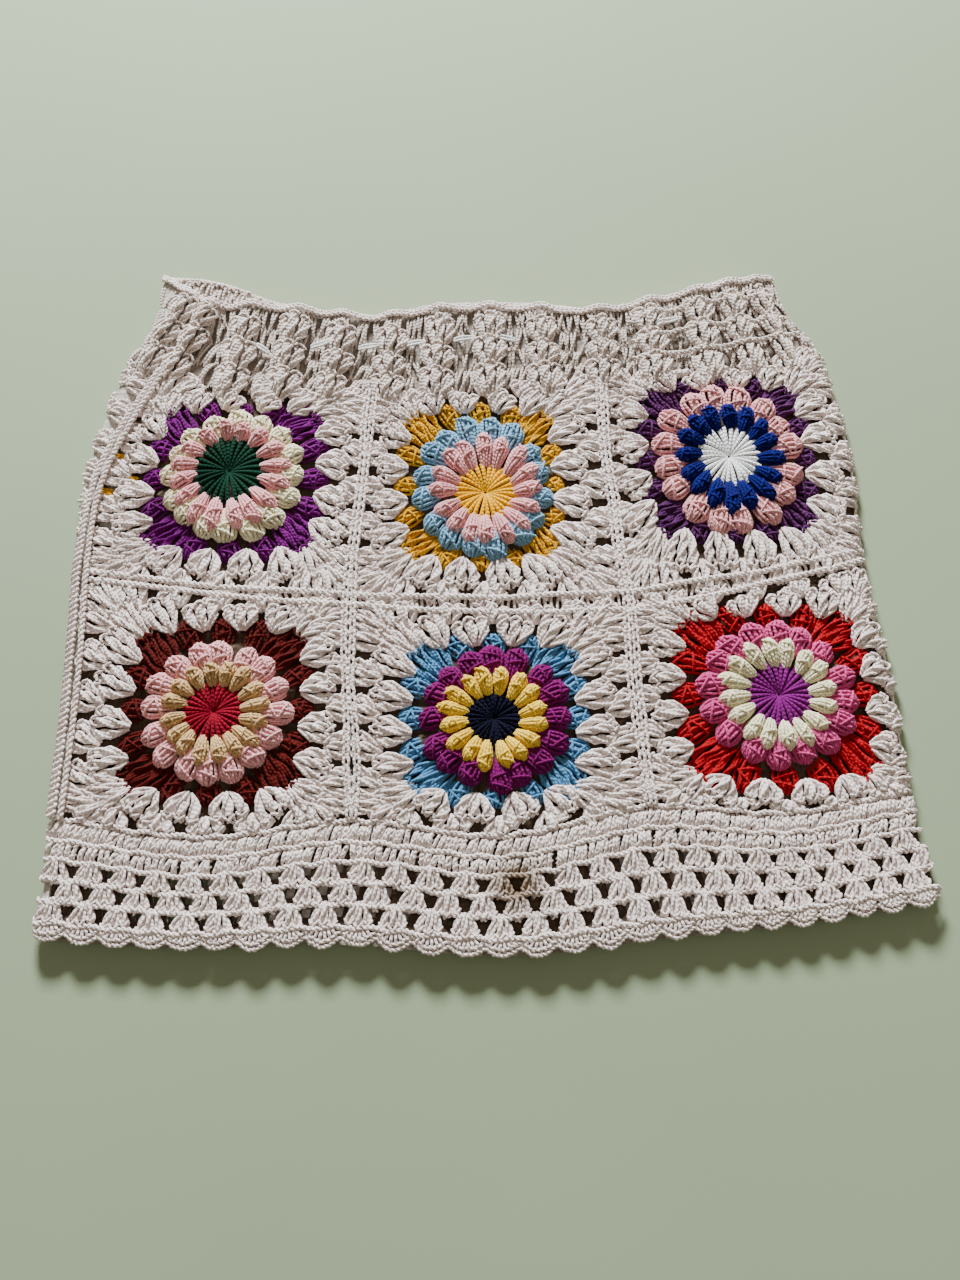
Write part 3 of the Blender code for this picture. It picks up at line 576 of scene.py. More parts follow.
def yarn_tree():
    """Geometry Nodes: turns paths into round yarn with its own thickness, UV map and material."""
    tree = bpy.data.node_groups.get("yarn along its paths")
    if tree:
        return tree
    tree = bpy.data.node_groups.new("yarn along its paths", "GeometryNodeTree")
    face = tree.interface
    face.new_socket("Paths", in_out="INPUT", socket_type="NodeSocketGeometry")
    sides = face.new_socket("Sides", in_out="INPUT", socket_type="NodeSocketInt")
    sides.default_value = 6
    sides.min_value = 3
    thick = face.new_socket("Thickness", in_out="INPUT", socket_type="NodeSocketFloat")
    thick.default_value = 1.0
    face.new_socket("Yarn", in_out="INPUT", socket_type="NodeSocketMaterial")
    face.new_socket("Mesh", in_out="OUTPUT", socket_type="NodeSocketGeometry")
    entry = tree.nodes.new("NodeGroupInput")
    leave = tree.nodes.new("NodeGroupOutput")
    paths = add(tree, "GeometryNodeMeshToCurve", Mesh=entry.outputs["Paths"])
    run = add(tree, "GeometryNodeSplineParameter")
    keep_run = add(tree, "GeometryNodeCaptureAttribute", Geometry=paths.outputs[0])
    keep_run.capture_items.new("FLOAT", "run")
    tree.links.new(run.outputs["Length"], keep_run.inputs[1])
    sides_out = entry.outputs["Sides"]
    profile = add(tree, "GeometryNodeCurvePrimitiveCircle", Resolution=sides_out, Radius=1.0)
    turn = add(tree, "GeometryNodeSplineParameter")
    keep_turn = add(tree, "GeometryNodeCaptureAttribute", Geometry=profile.outputs[0])
    keep_turn.capture_items.new("FLOAT", "turn")
    tree.links.new(turn.outputs["Factor"], keep_turn.inputs[1])
    width = add(tree, "GeometryNodeInputNamedAttribute", {"data_type": "FLOAT"}, Name="width")
    start = add(tree, "GeometryNodeInputNamedAttribute", {"data_type": "FLOAT"}, Name="start")
    scale = maths(tree, "MULTIPLY", width.outputs[0], entry.outputs["Thickness"])
    tube = add(
        tree,
        "GeometryNodeCurveToMesh",
        Curve=keep_run.outputs[0],
        Profile_Curve=keep_turn.outputs[0],
        Scale=scale,
        Fill_Caps=True,
    )
    along = maths(tree, "MULTIPLY_ADD", keep_run.outputs[1], 1.0 / MM, start.outputs[0])
    both = add(tree, "ShaderNodeCombineXYZ", X=keep_turn.outputs[1], Y=along)
    stored = add(
        tree,
        "GeometryNodeStoreNamedAttribute",
        {"data_type": "FLOAT2", "domain": "CORNER"},
        Geometry=tube.outputs[0],
        Name="UVMap",
        Value=both.outputs[0],
    )
    soft = add(tree, "GeometryNodeSetShadeSmooth", Geometry=stored.outputs[0])
    real = add(tree, "GeometryNodeRealizeInstances", Geometry=soft.outputs[0])
    material = entry.outputs["Yarn"]
    dyed = add(tree, "GeometryNodeSetMaterial", Geometry=real.outputs[0], Material=material)
    tree.links.new(dyed.outputs[0], leave.inputs[0])
    return tree


# The worked pieces that lie on each node's cloth.
GOES_WITH = {}


class Yarn:
    """Strands gathered for one piece, each a run of points on the unrolled cloth with a thickness."""

    def __init__(self):
        self.points = []
        self.widths = []
        self.starts = []
        self.edges = []
        self.count = 0

    def strand(self, points, width):
        """Adds a strand along points; width is one radius or one for each point."""
        points = np.asarray(points, float)
        n = len(points)
        self.points.append(points)
        self.widths.append(np.broadcast_to(np.asarray(width, float), (n,)))
        self.starts.append(np.full(n, (len(self.starts) * START_SHARE) % 1.0 * START_LENGTH))
        self.edges.append(np.stack([np.arange(n - 1), np.arange(1, n)], 1) + self.count)
        self.count += n

    def make(self, node, name, material, place=lay):
        """Works the strands into one mesh piece, which lies on a node's cloth."""
        spots = place(np.concatenate(self.points))
        mesh = bpy.data.meshes.new(name + "_paths")
        mesh.from_pydata(spots.tolist(), np.concatenate(self.edges).tolist(), [])
        widths = mesh.attributes.new("width", "FLOAT", "POINT")
        widths.data.foreach_set("value", np.concatenate(self.widths).astype(np.float32) * MM)
        starts = mesh.attributes.new("start", "FLOAT", "POINT")
        starts.data.foreach_set("value", np.concatenate(self.starts).astype(np.float32))
        paths = bpy.data.objects.new(name, mesh)
        bpy.context.scene.collection.objects.link(paths)
        modifier = paths.modifiers.new("yarn", "NODES")
        modifier.node_group = yarn_tree()
        values = {"Sides": STRAND_SIDES, "Thickness": 1.0, "Yarn": material}
        for item in modifier.node_group.interface.items_tree:
            if item.item_type == "SOCKET" and item.name in values:
                modifier[item.identifier] = values[item.name]
        bpy.context.view_layer.update()
        ready = paths.evaluated_get(bpy.context.evaluated_depsgraph_get())
        worked = bpy.data.meshes.new_from_object(ready)
        worked.name = name
        paths.modifiers.clear()
        paths.data = worked
        bpy.data.meshes.remove(mesh)
        for left_over in ("width", "start"):
            if left_over in worked.attributes:
                worked.attributes.remove(worked.attributes[left_over])
        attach(paths, "root")
        GOES_WITH.setdefault(node, []).append(paths)


Form = namedtuple("Form", ("width", "height"))
# How a group of trebles widens and rises from its base to its top, at even steps.
BUD = Form((0.0, 0.50, 0.84, 1.0, 0.98, 0.74), (0.50, 0.90, 1.0, 0.98, 0.80, 0.32))
TENT = Form((0.0, 0.34, 0.62, 0.82, 0.95, 1.0), (0.92, 1.0, 0.96, 0.86, 0.66, 0.34))


def axes(base, tip):
    """A stitch from base to tip: its base as an array, its length, and its two unit directions."""
    base = np.asarray(base, float)
    tip = np.asarray(tip, float)
    along = tip - base
    length = math.hypot(*along)
    along = along / length
    return base, length, along, np.array([-along[1], along[0]])


def bundle(
    yarn, base, top, foot, head, rng,
    height=4.4, ground=-1.7, strand=0.95, posts=3, per_post=3, form=BUD,
):
    """A group of trebles, drawn together at the base: each post a loose twist, a loop over its top."""
    base, length, along, across = axes(base, top)
    s = np.linspace(0.0, 1.0, 6)
    spread = foot + (head - foot) * np.asarray(form.width)
    bow = np.asarray(form.height)
    lean = rng.uniform(-0.1, 0.1) * head
    thick = np.interp(s, (0.0, 0.25, 0.8, 1.0), (0.8, 1.0, 1.05, 0.8))
    for post in range(posts):
        q = (post + 0.5) / posts * 2.0 - 1.0
        middle = q * spread / 2.0 * 1.02 + lean * (s - 0.5) * s
        reach = rng.uniform(-0.9, 0.7) - 2.0 * q * q
        run = s * (length + reach) + 0.6 * q * q * (1.0 - s)
        radius = np.maximum(spread / posts / 2.0 - strand * 0.7, 0.25)
        level = ground + (height - 1.3) * bow * math.cos(1.3 * q) ** 0.8 + rng.uniform(-0.2, 0.4)
        phase = rng.uniform(0.0, TURN)
        turn = rng.uniform(0.35, 0.65) * length / 14.0 * TURN
        for k in range(per_post):
            angle = phase + TURN * k / per_post + turn * s
            side = middle + radius * np.cos(angle) + rng.uniform(-0.08, 0.08, len(s))
            points = np.empty((len(s), 3))
            points[:, :2] = base + np.outer(run, along) + np.outer(side, across)
            points[:, 2] = level + np.minimum(radius, 1.4) * np.sin(angle)
            yarn.strand(points, strand * thick * rng.uniform(0.92, 1.08))
        core = np.empty((3, 3))
        core[:, :2] = base + np.outer(run[::2], along) + np.outer(middle[::2], across)
        core[:, 2] = level[::2] - 0.6
        yarn.strand(core, np.maximum(radius[::2] * 0.95, strand))
        wide = float(radius[-2]) + strand * 0.7
        for flip in (-1.0, 1.0):
            a = base + along * (run[-1] - 3.0) + across * (middle[-2] + flip * wide * 0.9)
            past = run[-1] + 0.4 + flip * rng.uniform(-0.8, 0.8)
            b = base + along * past + across * (middle[-1] - flip * wide * 0.5)
            loop = arc((*a, level[-3] + 0.4), (*b, level[-1]), 1.7, flip * 0.5, 4)
            yarn.strand(loop, strand * 0.85)


def arc(start, end, rise, side=0.0, count=7, power=0.6):
    """Points from start to end, bowed up by rise and sideways by side."""
    start = np.asarray(start, float)
    end = np.asarray(end, float)
    s = np.linspace(0.0, 1.0, count)
    bow = np.sin(np.pi * s) ** power
    flat = end[:2] - start[:2]
    length = math.hypot(*flat) or 1.0
    across = np.array([-flat[1], flat[0]]) / length
    points = start[None, :] + (end - start)[None, :] * s[:, None]
    points[:, :2] += across[None, :] * (side * bow)[:, None]
    points[:, 2] += rise * bow
    return points


def taper(count, width, ends=0.55):
    """Thickness along a strand that thins to a share of itself at both ends."""
    s = np.linspace(-1.0, 1.0, count)
    return width * (ends + (1.0 - ends) * (1.0 - np.abs(s) ** 3))


def puff(yarn, base, tip, width, height, ground, rng, strands=6, strand=0.98):
    """A petal: a plump stitch of several loops round a full middle, closed with loops at the tip."""
    base, length, along, across = axes(base, tip)
    count = 8
    s = np.linspace(0.0, 1.0, count)
    wide = np.interp(s, (0.0, 0.2, 0.45, 0.7, 0.88, 1.0), (0.44, 0.62, 0.88, 1.0, 0.86, 0.4))
    high = np.interp(s, (0.0, 0.18, 0.5, 0.75, 0.92, 1.0), (0.30, 0.72, 1.0, 0.98, 0.66, 0.25))
    bend = rng.uniform(-0.6, 0.6)
    twirl = rng.choice((-1.0, 1.0)) * rng.uniform(0.15, 0.4)

    def spots(side, up, reach):
        points = np.empty((len(up), 3))
        points[:, :2] = base + np.outer(reach, along) + np.outer(side, across)
        points[:, 2] = ground + up
        return points

    sway = bend * s * s + 0.12 * width * (s - 0.5)
    for k in range(strands):
        angle = math.pi * (k + 0.5) / strands + twirl * (s - 0.5) + rng.uniform(-0.06, 0.06, count)
        side = np.cos(angle) * (width / 2.0 - strand * 0.6) * wide + sway
        up = np.clip(np.sin(angle), 0.1, 1.0) ** 0.75 * (height - strand * 0.5) * high
        up = up + rng.uniform(-0.2, 0.2)
        reach = s * length * (1.0 - 0.05 * np.abs(np.cos(angle))) + rng.uniform(-0.3, 0.3)
        thick = strand * np.interp(s, (0.0, 0.5, 0.8, 1.0), (0.7, 1.0, 1.08, 0.85))
        yarn.strand(spots(side, up, reach), thick)
    thirds = np.array([1, 3, 5, 7])
    yarn.strand(
        spots(sway[thirds], height * 0.42 * high[thirds], s[thirds] * length * 0.96),
        np.minimum(width * 0.30 * wide[thirds], height * 0.55 * high[thirds] + 0.3),
    )
    for part, slant in ((0.5, -1.0), (0.74, 1.0)):
        slant = slant * rng.uniform(0.05, 0.16) * length
        middle = base + along * length * (part + rng.uniform(-0.06, 0.06))
        middle = middle + across * float(np.interp(part, s, sway))
        half = 0.40 * width * float(np.interp(part, s, wide))
        a = middle - across * half - along * slant
        b = middle + across * half + along * slant
        edge = ground + height * 0.5
        yarn.strand(arc((*a, edge), (*b, edge), height * 0.5 + 0.35, 0.0, 5, 0.7), strand * 0.8)
    for side, turn in ((-1.0, 0.4), (1.0, -0.4)):
        end = base + along * length * 0.86 + across * side * width * 0.16
        a = end - along * length * 0.16
        b = end + along * length * 0.13 - across * side * width * 0.10
        yarn.strand(
            arc((*a, ground + height * 0.8), (*b, ground + height * 0.3), 1.7, turn, 5, 0.9),
            taper(5, strand * 0.9),
        )


def run_along(path):
    """A path of (x, y) as an array, and how far along it each point is."""
    path = np.asarray(path, float)
    steps = np.hypot(*(path[1:] - path[:-1]).T)
    return path, np.concatenate([[0.0], np.cumsum(steps)])


def chain(yarn, path, pitch, width, height, strand):
    """A line of chain stitches along a path of (x, y): each link two slanting strands, like a plait."""
    path, run = run_along(path)
    total = run[-1]
    links = max(1, int(round(total / pitch)))
    pitch = total / links

    def at(d):
        d = np.clip(d, 0.0, total)
        return np.array([np.interp(d, run, path[:, 0]), np.interp(d, run, path[:, 1])])

    for k in range(links):
        start = (k - 0.25) * pitch
        for side in (-1.0, 1.0):
            d = start + np.array([0.0, 0.35, 0.75, 1.15, 1.5]) * pitch
            spots = at(d)
            ahead = at(d + 0.4) - at(d - 0.4)
            ahead = ahead / np.maximum(1e-6, np.hypot(ahead[0], ahead[1]))
            across = np.array([-ahead[1], ahead[0]])
            out = side * width * np.array([0.05, 0.34, 0.48, 0.34, 0.08])
            rise = height + np.array([-0.55, 0.1, 0.35, 0.2, -0.35])
            points = np.stack([spots[0] + across[0] * out, spots[1] + across[1] * out, rise], 1)
            yarn.strand(points, taper(5, strand))


def twist(yarn, path, width=1.5, height=1.1, pitch=6.5, strand=0.72, phase=0.0):
    """A slip-stitch cord: two strands laid round each other along a path of (x, y)."""
    path, run = run_along(path)
    count = max(4, int(run[-1] / 1.3))
    d = np.linspace(0.0, run[-1], count)
    x = np.interp(d, run, path[:, 0])
    y = np.interp(d, run, path[:, 1])
    dx = np.gradient(x)
    dy = np.gradient(y)
    long = np.maximum(1e-9, np.hypot(dx, dy))
    across = np.stack([-dy / long, dx / long], 1)
    for half in (0.0, math.pi):
        angle = 2.0 * math.pi * d / pitch + half + phase
        out = 0.5 * width * np.cos(angle)
        up = height + 0.55 * np.sin(angle)
        points = np.stack([x + across[:, 0] * out, y + across[:, 1] * out, up], 1)
        yarn.strand(points, strand)


def square_point(t):
    """Point of the unit square at t, counted from its lower left corner, one per side."""
    t = t % 4.0
    side = int(t) % 4
    along = 2.0 * (t - int(t)) - 1.0
    return ((along, -1.0), (1.0, along), (-along, 1.0), (-1.0, -along))[side]


class Panel:
    """Where a front square lies, and the lines of its rounds."""

    def __init__(self, square):
        self.square = square
        self.v_low, self.v_high = ROWS[square.row]
        self.right_wrap = 4.0 if square.column == 2 else 0.0
        shift_x, shift_y = CENTRE_SHIFT
        self.disc, self.inner, self.outer, self.coloured = [
            Ring(x - shift_x, y - shift_y, wide, tall) for x, y, wide, tall in square.rings
        ]

    def boundary(self, t):
        p, q = square_point(t)
        v = self.v_low + (self.v_high - self.v_low) * (q + 1.0) / 2.0
        column = self.square.column
        left = float(left_u(v)[0]) if column == 0 else float(column)
        s = (p + 1.0) / 2.0
        x, y = plan(left + s * (column + 1.0 - left), v)
        return float(x) + s * self.right_wrap, float(y)

    def between(self, t, part):
        """Between the coloured round's edge, at part 0, and the panel's own edge, at part 1."""
        p, q = square_point(t)
        soft = 1.0 - 0.12 * (p * q) ** 2
        x0 = self.coloured.x + self.coloured.wide * p * soft
        y0 = self.coloured.y + self.coloured.tall * q * soft
        x, y = self.boundary(t)
        return np.array([x0 + part * (x - x0), y0 + part * (y - y0)])

    def apart(self, start, stop, part):
        """How far two points of one round lie from each other."""
        return math.hypot(*(self.between(stop, part) - self.between(start, part)))

    def inset(self, t, depth):
        """A point depth millimetres inside the coloured round's edge."""
        point = self.between(t, 0.0)
        middle = np.array([self.coloured.x, self.coloured.y])
        inwards = middle - point
        return point + inwards / math.hypot(*inwards) * depth


def each_panel():
    """The six front squares, each with the lines of its rounds."""
    return [Panel(square) for square in SQUARES]


def shell_of(node, thin, name):
    """A thin shell on a solid's form: its top drawn in by thin, so that the yarn lies on it."""
    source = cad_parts[node]
    body = bmesh.new()
    body.from_mesh(source.data)
    bmesh.ops.remove_doubles(body, verts=body.verts, dist=1e-6)
    body.normal_update()
    for vertex in body.verts:
        if vertex.normal.z > TOP_POINT:
            vertex.co.z -= thin * MM
    mesh = bpy.data.meshes.new(name)
    body.to_mesh(mesh)
    body.free()
    piece = bpy.data.objects.new(name, mesh)
    bpy.context.scene.collection.objects.link(piece)
    return piece


class SkirtSettings(bpy.types.PropertyGroup):
    """The sizes and the colour that a user would change"""

    strand_radius: FloatProperty(
        name="Strand radius",
        description="Radius of one strand of the yarn in the groups of trebles",
        default=0.95 * MM,
        min=0.2 * MM,
        max=2.0 * MM,
        unit="LENGTH",
        subtype="DISTANCE",
        precision=5,
    )
    petal_fill: FloatProperty(
        name="Petal fill",
        description="How much of its share of the round an inner petal fills",
        default=0.8,
        min=0.4,
        max=1.2,
        subtype="FACTOR",
    )
    petals: IntProperty(
        name="Petals",
        description="Petals in each round of a flower",
        default=16,
        min=8,
        max=24,
    )
    off_white: FloatVectorProperty(
        name="Off-white yarn",
        description="Colour of the skirt's ground yarn",
        default=linear(YARNS["off white"])[:3],
        size=3,
        min=0.0,
        max=1.0,
        subtype="COLOR",
    )
    seed: IntProperty(
        name="Hand seed",
        description="Seed for the small unevenness of the handwork",
        default=11,
        min=0,
    )


def settings():
    """The skirt's own settings in this file."""
    return bpy.context.scene.skirt


def ground_yarn():
    """The undyed yarn of most of the skirt: off-white, with a tan cast at the stain."""
    colour = (*settings().off_white, 1.0)
    return cotton("off-white matt cotton yarn", colour, 0.7, STAIN)


def waist_shade_yarn():
    """The same yarn on the waist's ribs, darker and a little greyer: painted shade of the gathered
    waist.
    """
    return cotton("handled off-white matt cotton yarn", linear(YARNS["off white in painted waist shade"]), 0.66)


def fold_shade_yarn():
    """The same yarn down in the folds of the gathers, darker and greyer still: painted shade of the
    folds.
    """
    return cotton("folded off-white matt cotton yarn", linear(YARNS["off white in painted fold shade"]), 0.62)


def dyed_yarn(word):
    """A dyed yarn of the flowers, even and full in colour."""
    return cotton(word + " matt cotton yarn", linear(YARNS[word]))


class SKIRT_OT_base_cloth(bpy.types.Operator):
    """Lays the thin ground of each worked piece on its solid's form"""

    bl_idname = "skirt.base_cloth"
    bl_label = "Base cloth"

    def execute(self, context):
        plain = worked_cloth("off-white worked cotton, plain side", PLAIN_CLOTH)
        # The second and third materials are the plain cloth's colour with painted shade: dark for the
        # gaps, mid for the folds.
        inner = worked_cloth("off-white worked cotton deep in the gaps", PAINTED_GAP_SHADE)
        folds = worked_cloth("off-white worked cotton in the folds", PAINTED_FOLD_SHADE)
        for node in sorted(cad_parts):
            front = node.endswith("_front") or node.startswith("front_")
            piece = shell_of(node, FRONT_THIN if front else BACK_THIN, node + "_cloth")
            piece.data.materials.clear()
            for material in (plain, inner, folds):
                piece.data.materials.append(material)
            hem = node.startswith("hem")
            # Painted shade: the front's upward faces take the dark gap tone, or the mid fold tone on
            # the waistband.
            deep = 2 if node.startswith("waistband") else 1
            for face in piece.data.polygons:
                face.use_smooth = False
                face.material_index = deep if front and face.normal.z > SHADED_TOP_FACE else 0
                # Painted shade: the hem's front faces below the shells' roots take the mid fold tone.
                if hem and front:
                    x = face.center.x / MM - CENTRE_SHIFT[0]
                    y = face.center.y / MM - CENTRE_SHIFT[1]
                    if float(v_at(np.array([x]), np.array([y]))[0]) < SHELL_ROOT:
                        face.material_index = 2
            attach(piece, "root")
            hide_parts(node)
        return {"FINISHED"}


class SKIRT_OT_flowers(bpy.types.Operator):
    """Works the six flowers: a centre of trebles and two rounds of petals"""

    bl_idname = "skirt.flowers"
    bl_label = "Flowers"

    def execute(self, context):
        rng = np.random.default_rng(settings().seed)
        petals = settings().petals
        for panel in each_panel():
            square = panel.square
            centre, inner_yarn, outer_yarn, _ = square.yarns

            def on(ring, part, reach):
                """A point at part of a turn round a ring, at reach of its radius."""
                angle = 2.0 * math.pi * part
                x = ring.x + ring.wide * reach * math.cos(angle)
                return np.array([x, ring.y + ring.tall * reach * math.sin(angle)])

            disc = Yarn()
            for k in range(CENTRE_TREBLES):
                for offset in (-0.26, 0.26):
                    a = on(panel.disc, (k - 0.9 * offset) / CENTRE_TREBLES, 0.06)
                    reach = 1.14 + rng.uniform(-0.03, 0.03)
                    b = on(panel.disc, (k + 0.45 + offset) / CENTRE_TREBLES, reach)
                    rise = 1.9 + rng.uniform(-0.5, 0.5)
                    points = arc((*a, 1.7), (*b, 2.6), rise, rng.uniform(-0.5, 0.5), 7, 0.7)
                    disc.strand(points, np.linspace(0.6, panel.disc.wide * 0.105, 7))
            disc.make(square.name, square.name + "_centre", dyed_yarn(centre))

            inner = Yarn()
            turn = rng.uniform(0.0, 1.0)
            size = (panel.inner.wide + panel.inner.tall) / 2.0
            for k in range(petals):
                part = (k + turn) / petals + rng.uniform(-0.006, 0.006)
                base = on(panel.disc, part, 0.98)
                tip = on(panel.inner, part, 1.0 + rng.uniform(-0.05, 0.04))
                wide = 2.0 * math.pi * size * settings().petal_fill / petals * rng.uniform(0.88, 1.0)
                puff(inner, base, tip, wide, PETAL_HEIGHT + rng.uniform(-0.5, 0.5), INNER_GROUND, rng)
            inner.make(square.name, square.name + "_inner_petals", dyed_yarn(inner_yarn))

            outer = Yarn()
            size = (panel.outer.wide + panel.outer.tall) / 2.0
            for k in range(petals):
                part = (k + turn + 0.5) / petals + rng.uniform(-0.009, 0.009)
                tip = on(panel.outer, part, 1.0 + rng.uniform(-0.03, 0.04))
                middle = np.array([panel.outer.x, panel.outer.y])
                base = middle + (tip - middle) * 0.50
                wide = 2.0 * math.pi * size * 0.84 / petals * rng.uniform(0.98, 1.1)
                high = PETAL_HEIGHT + rng.uniform(-0.5, 0.5)
                puff(outer, base, tip, wide, high, OUTER_GROUND, rng, 7)
            outer.make(square.name, square.name + "_outer_petals", dyed_yarn(outer_yarn))
        return {"FINISHED"}


class SKIRT_OT_coloured_rounds(bpy.types.Operator):
    """Works the coloured round of groups behind each flower"""

    bl_idname = "skirt.coloured_rounds"
    bl_label = "Coloured rounds"

    def execute(self, context):
        rng = np.random.default_rng(settings().seed + 1)
        for panel in each_panel():
            yarn = Yarn()
            ring = panel.outer
            head = panel.coloured.wide * 0.27
            for side in range(4):
                for part in COLOURED_PLACES:
                    corner = abs(part) < 0.1
                    top = panel.between(side + part, -0.04 if corner else 0.0)
                    p, q = square_point(side + part * 0.92 + 0.04)
                    far = math.hypot(p, q)
                    x = ring.x + ring.wide * 0.82 * p / far
                    base = np.array([x, ring.y + ring.tall * 0.82 * q / far])
                    if corner:
                        bundle(yarn, base, top, 5.0, head, rng, 4.0, -1.6, 0.85, 3, 2)
                    else:
                        puff(yarn, base, top, head, 4.2, -2.0, rng, 5, 0.95)
            name = panel.square.name
            yarn.make(name, name + "_coloured_round", dyed_yarn(panel.square.yarns[3]))
        return {"FINISHED"}


class SKIRT_OT_white_rounds(bpy.types.Operator):
    """Works the two off-white rounds of each front square"""

    bl_idname = "skirt.white_rounds"
    bl_label = "Off-white rounds"

    def execute(self, context):
        rng = np.random.default_rng(settings().seed + 2)
        strand = settings().strand_radius / MM
        for panel in each_panel():
            yarn = Yarn()
            for feet, inner, outer in WHITE_ROUNDS:
                step = 1.0 / (len(feet) + 1)
                first = inner == 0.0
                for side in range(4):
                    for k, foot_at in enumerate(feet):
                        t = side + (k + 1) * step + rng.uniform(-0.04, 0.04) * step
                        at = side + foot_at
                        base = panel.inset(at, 8.0) if first else panel.between(at, inner)
                        top = panel.between(t, outer)
                        wide = panel.apart(t - step / 2, t + step / 2, outer) * 0.80
                        bundle(yarn, base, top, 4.4, wide, rng, 5.4, -1.0 if first else -1.8, strand)
                    corner = panel.inset(side, 6.0) if first else panel.between(side, inner)
                    for lean in (-1.0, 1.0):
                        top = panel.between(side + lean * step * 0.38, outer)
                        foot = corner + (top - panel.between(side, outer)) * 0.2
                        wide = panel.apart(side, side + lean * step * 0.66, outer) * 0.84
                        bundle(yarn, foot, top, 4.2, max(11.0, wide), rng, 5.2, -1.4, strand)
            name = panel.square.name
            yarn.make(name, name + "_off_white_rounds", ground_yarn())
        return {"FINISHED"}


class SKIRT_OT_seam_cords(bpy.types.Operator):
    """Works the slip-stitch cords that join the squares"""

    bl_idname = "skirt.seam_cords"
    bl_label = "Seam cords"

    def execute(self, context):
        rng = np.random.default_rng(settings().seed + 6)
        yarn = Yarn()

        def wander(points, size):
            """A slow sideways wander of a hand-worked line."""
            knots = rng.uniform(-size, size, len(points) // 9 + 2)
            return points + np.interp(np.arange(len(points)) / 9.0, np.arange(len(knots)), knots)

        v = np.linspace(SQUARES_BOTTOM, SQUARES_TOP, 90)
        for u in (1.0, 2.0):
            x, y = plan(u, v)
            for side in (-2.0, 2.0):
                chain(yarn, np.stack([wander(x + side, 1.3), y], 1), 5.8, 3.2, 3.1, 0.9)
        x, y = plan(left_u(v), v)
        for side in (-2.3, 2.3):
            twist(yarn, np.stack([wander(x + side, 0.4), y], 1), 2.0, 4.6, 7.0, 1.05, side)
        u = np.linspace(float(left_u(MIDDLE_SEAM)[0]), 3.0, 160)
        x, y = plan(u, MIDDLE_SEAM)
        x = np.append(x, x[-1] + np.array([1.5, 3.0, 5.0, 7.0]))
        y = np.append(y, y[-1] * np.ones(4))
        apart = np.interp(x, (-230.0, -60.0, 80.0, 180.0, 230.0), (2.4, 3.2, 5.6, 4.2, 2.8))
        y = y + np.interp(x, (60.0, 90.0, 130.0, 180.0), (0.0, -1.0, 3.5, 6.0))
        for side in (-1.0, 1.0):
            twist(yarn, np.stack([x, wander(y + side * apart, 0.9)], 1), 2.1, 2.6, 7.5, 1.0, side)
        for k in range(int((x[-1] - x[0]) / 3.6)):
            at = x[0] + 3.6 * (k + 0.5)
            middle = float(np.interp(at, x, y))
            half = float(np.interp(at, x, apart)) * 0.9
            slant = rng.uniform(-1.6, 1.6)
            a = (at - slant, middle - half, -0.2)
            b = (at + slant, middle + half, -0.2)
            yarn.strand(arc(a, b, 1.0 + rng.uniform(-0.3, 0.3), 0.3, 4), 0.9)
        yarn.make("front_square_2", "seam_cords", ground_yarn())
        return {"FINISHED"}


class SKIRT_OT_left_strip(bpy.types.Operator):
    """Works the edge of the back squares where it comes round the left fold"""

    bl_idname = "skirt.left_strip"
    bl_label = "Strip round the left fold"

    def execute(self, context):
        rng = np.random.default_rng(settings().seed + 3)
        yarn = Yarn()
        for v_low, v_high in ROWS:
            for k in range(7):
                v = v_low + (v_high - v_low) * (k + 0.5) / 7.0
                x, y = plan(left_u(v), v)
                x = float(x[0]) - 3.4
                y = float(y[0])
                bundle(yarn, (x - 16.0, y), (x, y), 6.0, 18.5, rng)
                bundle(yarn, (x - 31.0, y + 10.0), (x - 13.0, y + 10.0), 7.0, 18.5, rng, 4.0)
        yarn.make("back_square_1", "left_strip_groups", ground_yarn())
        below = Yarn()
        for x, y in SHOWING_THROUGH:
            for k in range(4):
                a = (x - 3.5, y + 1.5 * k - 2.0, -0.6)
                b = (x + 3.5, y + 1.5 * k - 3.0, -0.6)
                below.strand(arc(a, b, 0.5, 0.0, 5), 0.85)
        below.make("front_square_1", "mustard_of_the_back_square", dyed_yarn("mustard"))

        edge = Yarn()
        v = np.linspace(SQUARES_BOTTOM, RIM, 110)
        x, y = plan(3.0, v)
        for out in RIGHT_EDGE_LINES:
            chain(edge, np.stack([x + out, y], 1), 5.0, 2.6, 0.4, 0.75)
        edge.make("front_square_3", "right_edge_chain", ground_yarn())
        return {"FINISHED"}


